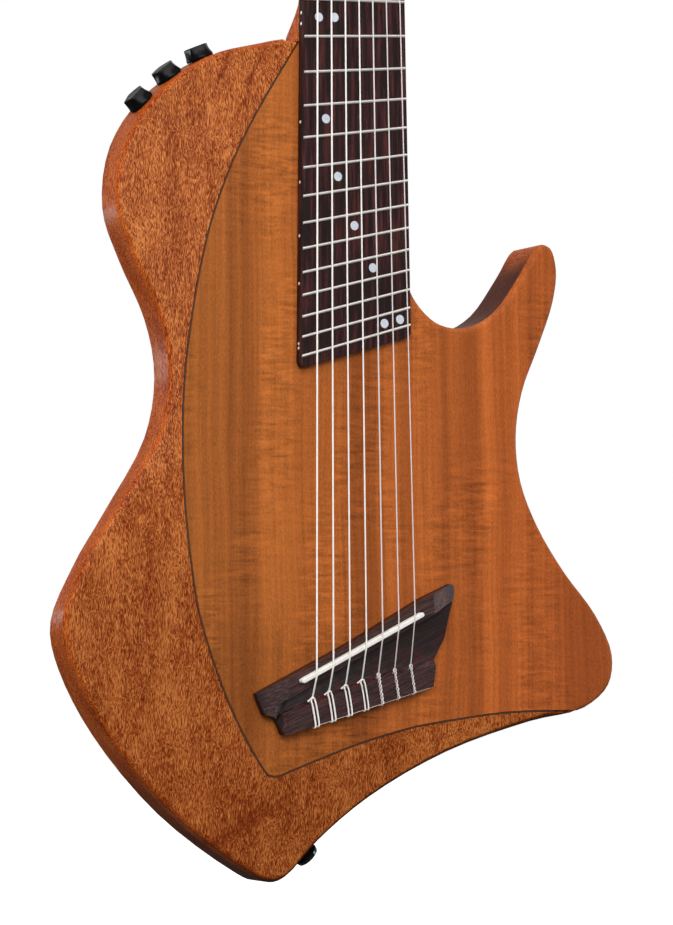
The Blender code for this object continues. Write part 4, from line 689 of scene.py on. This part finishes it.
def add_dots():
    front, side = (0.0, -1.0, 0.0), (-1.0, 0.0, 0.0)
    lower = [(LOWER_DOTS_X, space_middle(number, LOWER_DOTS_X)) for number in LOWER_DOTS]
    places = [(plan_point(x, z, BOARD_TOP - 0.06), front) for x, z in FACE_DOTS + lower]
    set_discs("face_dots", places, "pearl", {"Radius": 2.5, "Height": 0.2}, 32)
    places = []
    for number, shift in SIDE_DOTS:
        z = space_middle(number, -32.0) + shift
        places.append((plan_point(-board_half(z) + 0.02, z, BOARD_TOP - SIDE_DOT_DEPTH), side))
    set_discs("side_dots", places, "bone", {"Radius": 0.85, "Height": 0.2}, 20)


def corners_of(name, inward):
    """Four places near the corners of a CAD node's outline, seen from the back."""
    flat = [Vector((v.co.x, v.co.z)) for v in frame["nodes"][name].data.vertices]
    middle = sum(flat, Vector((0.0, 0.0))) / len(flat)
    made = []
    for way in (Vector((1, 1)), Vector((1, -1)), Vector((-1, -1)), Vector((-1, 1))):
        corner = max(flat, key=lambda place: place.dot(way))
        made.append(corner + (middle - corner).normalized() * inward * MM)
    return made


def add_screws():
    """Slotted screws that hold the back cover."""
    rear = max(v.co.y for v in frame["nodes"]["control_cover"].data.vertices)
    places = [((x, rear, z), (0.0, 1.0, 0.0)) for x, z in corners_of("control_cover", 5.0)]
    sizes = {"Radius": 2.4, "Height": 0.8, "Slot Width": 0.6, "Slot Depth": 0.5}
    set_discs("cover_screws", places, "steel", sizes, 28)


# Bridge

BRIDGE_EDGE = [
    (-61.8, -23.3), (-53.2, -19.2), (-4.8, 3.4), (39.8, 27.0), (59.0, 35.0), (61.6, 34.2), (62.4, 31.2),
    (55.0, 6.0), (47.6, -5.6), (45.4, -20.5), (-40.5, -43.9), (-46.0, -45.2), (-47.8, -41.2),
    (-49.6, -37.6), (-52.4, -35.6), (-57.2, -34.4), (-61.0, -26.0),
]
HORN_LINE = [(44.9, 34.0), (45.0, 27.3), (45.4, 18.4), (47.0, 14.8), (50.8, 9.8), (52.4, 6.2), (57.0, -4.0)]
DECK_HEIGHT, TIE_BLOCK_HEIGHT, TROUGH_FLOOR, BRIDGE_FOOT = 8.75, 7.65, 2.9, 0.3
BASS_WING_X, BLOCK_END_X = -44.7, -44.2
SADDLE_MIDDLE, SADDLE_RISE, SADDLE_AHEAD = -0.8, 0.474, 1.05
SADDLE_THICK, SADDLE_LENGTH, SADDLE_ROUND = 2.6, 83.6, 0.55

# Half the thickness of a steep wall, and how near the net's points come to edge and creases
WALL, EDGE_GAP, NET_GAP = 0.12, 0.3, 0.55


def trough_at(x):
    """Where the trough's upper edge runs, in plan z."""
    return -29.7 + 0.492 * (x + 52.0)


def ridge_at(x):
    """Where the tie block's front top edge runs."""
    return -19.55 + 0.2713 * x - 0.001156 * x * x


def rear_at(x):
    """Where the tie block's rear edge runs."""
    return -32.9 + 0.272 * x


def ease(value):
    value = max(0.0, min(1.0, value))
    return value * value * (3 - 2 * value)


def horn_side(x, z):
    """How far a place lies beyond the line where the deck turns down into the treble wing."""
    for (ax, az), (bx, bz) in zip(HORN_LINE, HORN_LINE[1:]):
        if z >= bz:
            break
    return 0.85 * (x - ax - (bx - ax) * (z - az) / (bz - az))


def bridge_height(x, z):
    """Height of the bridge over the face: deck, scooped trough, tie block and the two sloping wings."""
    if z > trough_at(x):
        height = DECK_HEIGHT
    elif z > ridge_at(x) + WALL:
        share = min(1.0, (trough_at(x) - z) / max(0.5, trough_at(x) - ridge_at(x)))
        height = TROUGH_FLOOR + 2.5 * share ** 1.6 + 2.2 * ease((share - 0.90) / 0.10)
        height = max(height, TROUGH_FLOOR + 3.4 * max(0.0, (-43.0 - x) / 9.0) ** 1.2)
    else:
        height = TIE_BLOCK_HEIGHT + min(0.0, 0.95 * (x - BLOCK_END_X))
    left = DECK_HEIGHT + 0.2835 * (x - BASS_WING_X)
    right = DECK_HEIGHT - 0.42 * horn_side(x, z)
    return max(1.2, min(height, left, right))


def along(line, start, end, shift):
    """Points along a curve z(x), a millimetre apart."""
    return [(x, line(x) + shift) for x in range(start, end + 1)]


def sides_of(edge):
    """The pairs of neighbours around a closed line."""
    return zip(edge, edge[1:] + edge[:1])


def inside(x, z, edge):
    hit = False
    for (ax, az), (bx, bz) in sides_of(edge):
        if (az > z) != (bz > z) and x < ax + (bx - ax) * (z - az) / (bz - az):
            hit = not hit
    return hit


def dense(edge, step):
    made = []
    for (ax, az), (bx, bz) in sides_of(edge):
        count = max(1, round(math.hypot(bx - ax, bz - az) / step))
        made += [(ax + (bx - ax) * k / count, az + (bz - az) * k / count) for k in range(count)]
    return made


def farther(place, others, gap):
    return min(math.dist(place, other) for other in others) > gap


def bridge_creases():
    horn = dense(HORN_LINE, 1.0)
    made = [horn[:horn.index(HORN_LINE[-1])]]
    for line, start in ((trough_at, -51), (ridge_at, -48)):
        made += [along(line, start, 60, WALL), along(line, start, 60, -WALL)]
    made.append([(BASS_WING_X, float(z)) for z in range(-33, 0)])
    made.append([(BLOCK_END_X, float(z)) for z in range(-50, -33)])
    return made


def build_bridge():
    """The bridge's top as a fine net over its outline, with an edge along every crease, closed underneath."""
    edge = dense(BRIDGE_EDGE, 1.0)
    flat, links = list(edge), [(i, (i + 1) % len(edge)) for i in range(len(edge))]
    for crease in bridge_creases():
        kept = [place for place in crease if inside(*place, BRIDGE_EDGE) and farther(place, edge, EDGE_GAP)]
        links += [(len(flat) + k, len(flat) + k + 1) for k in range(len(kept) - 1)]
        flat += kept
    lines = list(flat)
    for i in range(-64, 64):
        for j in range(-46, 37):
            place = (i + 0.5 * (j % 2), float(j))
            if inside(*place, BRIDGE_EDGE) and farther(place, lines, NET_GAP):
                flat.append(place)
    found = delaunay_2d_cdt([Vector(p) for p in flat], links, [list(range(len(edge)))], 1, 1e-6)
    top = [plan_point(p.x, p.y, bridge_height(p.x, p.y)) for p in found[0]]
    faces = [list(face) for face in found[2]]
    uses = {}
    for face in faces:
        for pair in sides_of(face):
            uses[frozenset(pair)] = uses.get(frozenset(pair), []) + [pair]
    rim = {a: b for pairs in uses.values() if len(pairs) == 1 for a, b in pairs}
    loop = [next(iter(rim))]
    while rim[loop[-1]] != loop[0]:
        loop.append(rim[loop[-1]])
    foot = [plan_point(found[0][i].x, found[0][i].y, BRIDGE_FOOT) for i in loop]
    first, count = len(top), len(loop)
    for i in range(count):
        j = (i + 1) % count
        faces.append([loop[j], loop[i], first + i, first + j])
    faces.append([first + i for i in range(count)])
    made = new_object("bridge_skin", top + foot, faces, "rosewood", 40.0)
    keep_flat(made, True)
    finish_piece(made, replaced=["bridge"])


def build_saddle():
    """A bone bar with round ends and a rounded top."""
    turn = math.atan(SADDLE_RISE)
    c, s = math.cos(turn), math.sin(turn)
    mid_x, mid_z = SADDLE_MIDDLE, SADDLE_RISE * SADDLE_MIDDLE + SADDLE_AHEAD
    half, radius = (SADDLE_LENGTH - SADDLE_THICK) / 2, SADDLE_THICK / 2
    shoulder = SADDLE_TOP - SADDLE_ROUND
    rows = [(1.0, 5.0), (1.0, shoulder)]
    for angle in (0.4, 0.8, 1.2, math.pi / 2):
        rows.append((1.0 - 0.36 * (1 - math.cos(angle)), shoulder + SADDLE_ROUND * math.sin(angle)))
    ring = []
    for end in (1, -1):
        for k in range(13):
            angle = -math.pi / 2 + math.pi * k / 12
            ring.append((end * half, end * radius * math.cos(angle), end * radius * math.sin(angle)))
    points = []
    for size, height in rows:
        for start, ahead, aside in ring:
            u, v = start + ahead * size, aside * size
            points.append(plan_point(mid_x + u * c - v * s, mid_z + u * s + v * c, height))
    made = new_object("saddle_skin", points, ring_faces(len(rows), len(ring)), "bone", 50.0)
    finish_piece(made, replaced=["saddle"])


# Strings

HEAD_TILT = math.radians(10.0)
NUT_THICK, SEAT_GAP, NUT_TO_HEAD = 5.0, 0.3, 2.7
HEAD_START = fret_height(0, -BOARD_HALF_NUT) + NUT_THICK + SEAT_GAP + NUT_TO_HEAD
SLOT_MIDDLE, ROLLER_DEPTH, ROLLER_RADIUS, WRAP_TURNS, WRAP_STEPS = 16.8, 8.0, 4.6, 1.75, 36
BASS_ROLLER_HEIGHT, TREBLE_ROLLER_HEIGHT, ROLLER_PITCH = 54.0, 70.0, 32.0
TIE_LEFT, TIE_RIGHT, TIE_LEAN, TIE_HOLE = 0.8, 1.3, 2.6, 4.4
KNOT_AHEAD, KNOT_HEIGHT = 2.8, 8.2
TAIL_RADIUS, TWISTS, TWIST_STEPS = 0.26, 3.5, 60


def head_point(x, depth, up):
    """A place on the leaning headstock: across, behind its face and up along it."""
    c, s = math.cos(HEAD_TILT), math.sin(HEAD_TILT)
    return Vector((x * MM, FACE + (depth * c + up * s) * MM, SADDLE + (HEAD_START + up * c - depth * s) * MM))


def head_place(point):
    """How far behind the headstock's face and how far up along it a point lies."""
    c, s = math.cos(HEAD_TILT), math.sin(HEAD_TILT)
    back, rise = (point.y - FACE) / MM, (point.z - SADDLE) / MM - HEAD_START
    return back * c - rise * s, back * s + rise * c


def wraps(index, radius, start):
    """The turns on the roller, from where the string meets its front."""
    if index < 4:
        side, height = -1, BASS_ROLLER_HEIGHT + ROLLER_PITCH * index
    else:
        side, height = 1, TREBLE_ROLLER_HEIGHT + ROLLER_PITCH * (STRING_COUNT - 1 - index)
    depth, up = head_place(start)
    reach = (ROLLER_RADIUS + radius + 0.35) / math.cos(math.pi / 12)
    aim, rise = height - up, ROLLER_DEPTH - depth
    lead = math.atan2(rise, aim) - math.asin(reach / math.hypot(rise, aim))
    made = []
    for i in range(int(WRAP_TURNS * WRAP_STEPS) + 1):
        angle = -math.pi / 2 - lead + 2 * math.pi * i / WRAP_STEPS
        x = side * SLOT_MIDDLE - side * 1.5 + side * (2 * radius + 0.5) * i / WRAP_STEPS
        made.append(head_point(x, ROLLER_DEPTH + reach * math.sin(angle), height + reach * math.cos(angle)))
    return made


def strand(ahead, out):
    """One strand over the tie block, from its rear edge to the knot in front of its ridge."""
    top, behind = TIE_BLOCK_HEIGHT, ahead + TIE_LEAN
    bend = out * math.sqrt(0.5)
    return [(behind, top - 1.2, rear_at(behind) - out), (behind, top, rear_at(behind) - out),
            (behind, top + bend, rear_at(behind) - bend), (behind, top + out, rear_at(behind) + 0.2),
            (ahead + 0.5, top + out, ridge_at(ahead + 0.5)), (ahead, top + out - 0.1, ridge_at(ahead) + 1.6)]


def run_points(index, radius):
    """The string from its turns on the roller over nut and saddle to its knot, then into the tie block."""
    x, _ = saddle_place(index)
    nx, nz = nut_place(index)
    z, ridge = SADDLE_RISE * x + SADDLE_AHEAD, ridge_at(x)
    over_nut = plan_point(nx, fret_height(0, nx) + NUT_THICK + 3 * SEAT_GAP, NUT_HEIGHT)
    made = wraps(index, radius, over_nut)[::-1] + [over_nut, plan_point(nx, nz, NUT_HEIGHT)]
    for at, height in ((z + 1.2, SADDLE_HEIGHT), (z - 1.1, SADDLE_HEIGHT - 0.1), (z - 2.2, SADDLE_HEIGHT - 0.7),
                       (ridge + KNOT_AHEAD, KNOT_HEIGHT), (ridge + 0.9, TIE_HOLE + 1.4),
                       (ridge + 0.2, TIE_HOLE), (rear_at(x) - 0.4, TIE_HOLE)):
        made.append(plan_point(x, at, height))
    return made


def tail(x, radius):
    """The string's end, laid along the tie block's rear edge and caught under the next tie."""
    places = [x + TIE_LEAN + 0.3 + step for step in (0.0, 3.0, 6.0, 9.6)]
    return smooth_path([(place, 7.2, rear_at(place) - radius * 0.5) for place in places], 3)


def bass_tie(index, radius):
    """Two strands side by side over the tie block, meeting in a knot in front of it."""
    x, _ = saddle_place(index)
    out = radius + 0.3
    left, right = x - TIE_LEFT, x + TIE_RIGHT
    a, b = left + TIE_LEAN, right + TIE_LEAN
    front, top = ridge_at(x) + KNOT_AHEAD, KNOT_HEIGHT + radius
    loop = [(b - 0.5, 5.2, rear_at(b) - out + 0.2), (a + 0.3, 5.6, rear_at(a) - out)]
    loop += strand(left, out)
    loop += [(x - 0.4, KNOT_HEIGHT - 0.1, front + 0.3), (x + 0.7, KNOT_HEIGHT - 0.1, front + 0.3)]
    loop += strand(right, out)[::-1]
    loop += [(b - 0.3, 5.4, rear_at(b) - out), (a + 0.6, 4.9, rear_at(a) - out + 0.2)]
    knot = [(x + 1.5, top - 1.0, front - 1.1), (x + 1.1, top - 0.1, front - 0.1), (x, top + 0.45, front + 0.2),
            (x - 1.1, top, front - 0.2), (x - 1.9, top - 0.6, front - 1.0), (x - 2.7, top - 0.9, front - 1.6)]
    return smooth_path(loop, 4), smooth_path(knot, 5)


def treble_tie(index, radius):
    """An eye in front of the tie block and two strands twisted together over it, tucked in behind."""
    x, _ = saddle_place(index)
    top, out = TIE_BLOCK_HEIGHT + radius + 0.55, radius + 0.4
    start = Vector((x + 0.1, ridge_at(x) + 1.7))
    end = Vector((x + TIE_LEAN, rear_at(x + TIE_LEAN) - out - 0.2))
    ropes = []
    for phase in (0.0, math.pi):
        path = []
        for k in range(TWIST_STEPS + 1):
            share = k / TWIST_STEPS
            place = start + (end - start) * share
            angle = phase + 2 * math.pi * TWISTS * share
            swell = radius * (1.45 + 0.35 * math.sin(2.4 + 21.0 * share + index))
            drop = 2.0 * max(0.0, share - 0.93) / 0.07
            height = top + swell * math.sin(angle) - drop
            path.append(plan_point(place.x + swell * math.cos(angle), place.y, height))
        ropes.append(path)
    eye = []
    for k in range(25):
        angle = 2 * math.pi * k / 24 * 0.96
        z = ridge_at(x) + KNOT_AHEAD - 1.0 * math.cos(angle)
        eye.append(plan_point(x + 0.95 * math.sin(angle), z, KNOT_HEIGHT + 0.02 * k))
    return ropes, eye


def add_strings():
    for index in range(STRING_COUNT):
        radius, number = STRING_RADII[index], STRING_COUNT - index
        thin = radius * 0.95
        clear = index > 3
        parts = [tube(run_points(index, radius), radius * MM)]
        if clear:
            ropes, eye = treble_tie(index, thin)
            parts += [tube(path, thin * MM, 10) for path in ropes + [eye]]
        else:
            loop, knot = bass_tie(index, radius)
            parts += [tube(loop, radius * MM, 10), tube(knot, thin * MM, 10)]
        parts.append(tube(tail(saddle_place(index)[0], TAIL_RADIUS), TAIL_RADIUS * MM, 8))
        points, faces = [], []
        for more_points, more_faces in parts:
            faces += [[len(points) + i for i in face] for face in more_faces]
            points += more_points
        look = "clear_nylon" if clear else "nylon"
        made = new_object("string_%d_skin" % number, points, faces, look, 60.0)
        finish_piece(made, replaced=["string_%d" % number])


# Controls

KNOB_RADIUS, KNOB_HEIGHT, KNOB_STANDOFF, KNOB_LOBES, SCALLOP_DEPTH = 7.5, 6.5, 0.6, 5, 0.19
SHAFT_RADIUS, SHAFT_END = 3.0, -12.8

# A knob from foot to top: shares of its radius, of the scallops and of its height
KNOB_ROWS = [
    (0.97, 0.0, -0.10), (1.0, 0.0, 0.0), (1.0, 0.0, 0.10), (0.985, 0.0, 0.16), (0.97, 0.15, 0.26),
    (0.96, 0.4, 0.42), (0.95, 0.7, 0.60), (0.95, 0.95, 0.78), (0.95, 1.0, 0.88), (0.935, 1.0, 0.95),
    (0.90, 0.95, 0.99), (0.80, 0.7, 1.01), (0.60, 0.0, 0.985),
]


def knob_frame(name):
    """A knob's place and outward direction, and two directions across it."""
    joint = next(row for row in frame["record"]["behaviour"]["joints"] if row["name"] == name + "_turn")
    axis = Vector(joint["axis"]).normalized()
    side = Vector((0.0, 1.0, 0.0))
    return Vector(joint["pos_m"]), axis, side, axis.cross(side)


def add_knobs():
    """Black knobs on their shafts, whose skirt narrows and breaks into scallops with sharp ridges."""
    rings = [(KNOB_RADIUS * size, scallop, KNOB_STANDOFF + KNOB_HEIGHT * up) for size, scallop, up in KNOB_ROWS]
    rings = [(SHAFT_RADIUS, 0.0, SHAFT_END), (SHAFT_RADIUS, 0.0, rings[0][2])] + rings
    sides = KNOB_LOBES * 16
    for number in (1, 2, 3):
        place, axis, side, other = knob_frame("knob_%d" % number)
        points = []
        for size, scallop, up in rings:
            for i in range(sides):
                angle = 2 * math.pi * i / sides
                wave = abs(math.sin(KNOB_LOBES * angle / 2 + 0.3 * number)) ** 0.8
                radius = size * (1.0 - SCALLOP_DEPTH * scallop * wave) * MM
                outward = math.cos(angle) * side + math.sin(angle) * other
                points.append(place + axis * up * MM + radius * outward)
        faces = ring_faces(len(rings), sides)
        made = new_object("knob_%d_skin" % number, points, faces, "black_plastic", 30.0)
        finish_piece(made, "control_%d" % number, ["knob_%d" % number])


# Studio

WORLD_LIGHT = 0.40
FLOOR_Z, FLOOR_HALF = -1.05, 6.0
MIDDLE = (0.0, 0.0, -0.58)

# Each light's name, place, aim, width, height and watts, and whether gloss mirrors it
LIGHTS = [
    ("key", (-0.70, -1.45, 0.10), MIDDLE, 0.9, 0.9, 15.0, True),
    ("front", (0.10, -1.9, 0.0), MIDDLE, 0.9, 0.9, 9.0, True),
    ("bass side", (-1.7, 0.1, -0.25), (0.0, 0.0, -0.5), 0.8, 0.9, 9.0, False),
    ("back left", (-0.95, 1.25, -0.49), (-0.1, 0.0, -0.52), 0.6, 0.22, 3.4, True),
    ("treble side", (1.6, -0.42, -0.62), (0.0, 0.0, -0.65), 0.45, 0.7, 4.0, True),
    ("left front", (-1.5, -1.1, -0.60), (0.0, 0.0, -0.65), 0.3, 0.4, 2.0, False),
    ("overhead", (0.1, -0.1, 0.9), MIDDLE, 1.0, 0.7, 5.0, True),
]


def area_light(name, place, target, width, height, power, mirrored):
    data = bpy.data.lights.new(name, "AREA")
    data.shape, data.size, data.size_y = "RECTANGLE", width, height
    data.energy = power
    made = add_object(name, data)
    made.location = place
    made.rotation_euler = (Vector(target) - Vector(place)).to_track_quat("-Z", "Y").to_euler()
    made.visible_glossy = mirrored


def add_world():
    """A soft light that grows from below to above, behind a white that only the camera sees."""
    world = bpy.data.worlds.new("studio")
    bpy.context.scene.world = world
    world.use_nodes = True
    graph = Graph(world.node_tree)
    back = world.node_tree.nodes["Background"]
    back.inputs["Color"].default_value = (1.0, 1.0, 1.0, 1.0)
    seen = graph.node("ShaderNodeLightPath").outputs["Is Camera Ray"]
    rise = graph.split(graph.node("ShaderNodeTexCoord").outputs["Generated"])["Z"]
    lit = graph.remap(rise, -0.7, 0.7, 0.25 * WORLD_LIGHT, 1.5 * WORLD_LIGHT)
    glossy = graph.node("ShaderNodeLightPath").outputs["Is Glossy Ray"]
    lit = graph.times(lit, graph.remap(glossy, 0.0, 1.0, 1.0, 0.9, smooth=False))
    graph.feed(back.inputs["Strength"], graph.math("MAXIMUM", seen, lit))


def add_floor():
    """A plain floor that the camera sees white and that throws little light on the guitar."""
    corners = [(x * FLOOR_HALF, y * FLOOR_HALF, FLOOR_Z) for x, y in ((-1, -1), (1, -1), (1, 1), (-1, 1))]
    mesh = bpy.data.meshes.new("floor")
    mesh.from_pydata(corners, [], [[0, 1, 2, 3]])
    floor = add_object("floor", mesh)
    look, graph, shader, _ = new_material("floor_look")
    seen = graph.node("ShaderNodeLightPath").outputs["Is Camera Ray"]
    graph.fill(shader, {
        "Base Color": graph.mix(seen, (0.10, 0.10, 0.10), (0.80, 0.80, 0.80)), "Roughness": 0.9,
        "Emission Color": graph.mix(seen, (0.0, 0.0, 0.0), (0.75, 0.75, 0.75)), "Emission Strength": 1.0,
        "Specular IOR Level": 0.0})
    mesh.materials.append(look)


# The camera, fitted to the photograph: place, two of its axes and its focal length in the photograph's pixels
CAMERA_PLACE = Vector((-0.78617, -1.34777, -0.70051))
CAMERA_RIGHT = Vector((0.86519, -0.50141, -0.00553))
CAMERA_UP = Vector((-0.02767, -0.05876, 0.99789))
FOCAL_PIXELS, PICTURE_HEIGHT = 2887.7, 925.0


def add_camera():
    data = bpy.data.cameras.new("camera")
    data.sensor_fit = "VERTICAL"
    data.sensor_height = 24.0
    data.lens = FOCAL_PIXELS * data.sensor_height / PICTURE_HEIGHT
    data.clip_start, data.clip_end = 0.05, 50.0
    made = add_object("camera", data)
    right = CAMERA_RIGHT.normalized()
    up = (CAMERA_UP - right * CAMERA_UP.dot(right)).normalized()
    turn = Matrix((right, up, right.cross(up))).transposed().to_4x4()
    made.matrix_world = Matrix.Translation(CAMERA_PLACE) @ turn
    bpy.context.scene.camera = made


def main():
    bpy.context.scene.view_settings.view_transform = "Standard"
    own = ["bridge", "saddle"] + ["string_%d" % i for i in range(1, 8)] + ["knob_%d" % i for i in (1, 2, 3)]
    dress_frame(own)
    add_dots()
    add_screws()
    build_bridge()
    build_saddle()
    add_strings()
    add_knobs()
    add_world()
    add_floor()
    for light in LIGHTS:
        area_light(*light)
    add_camera()


main()
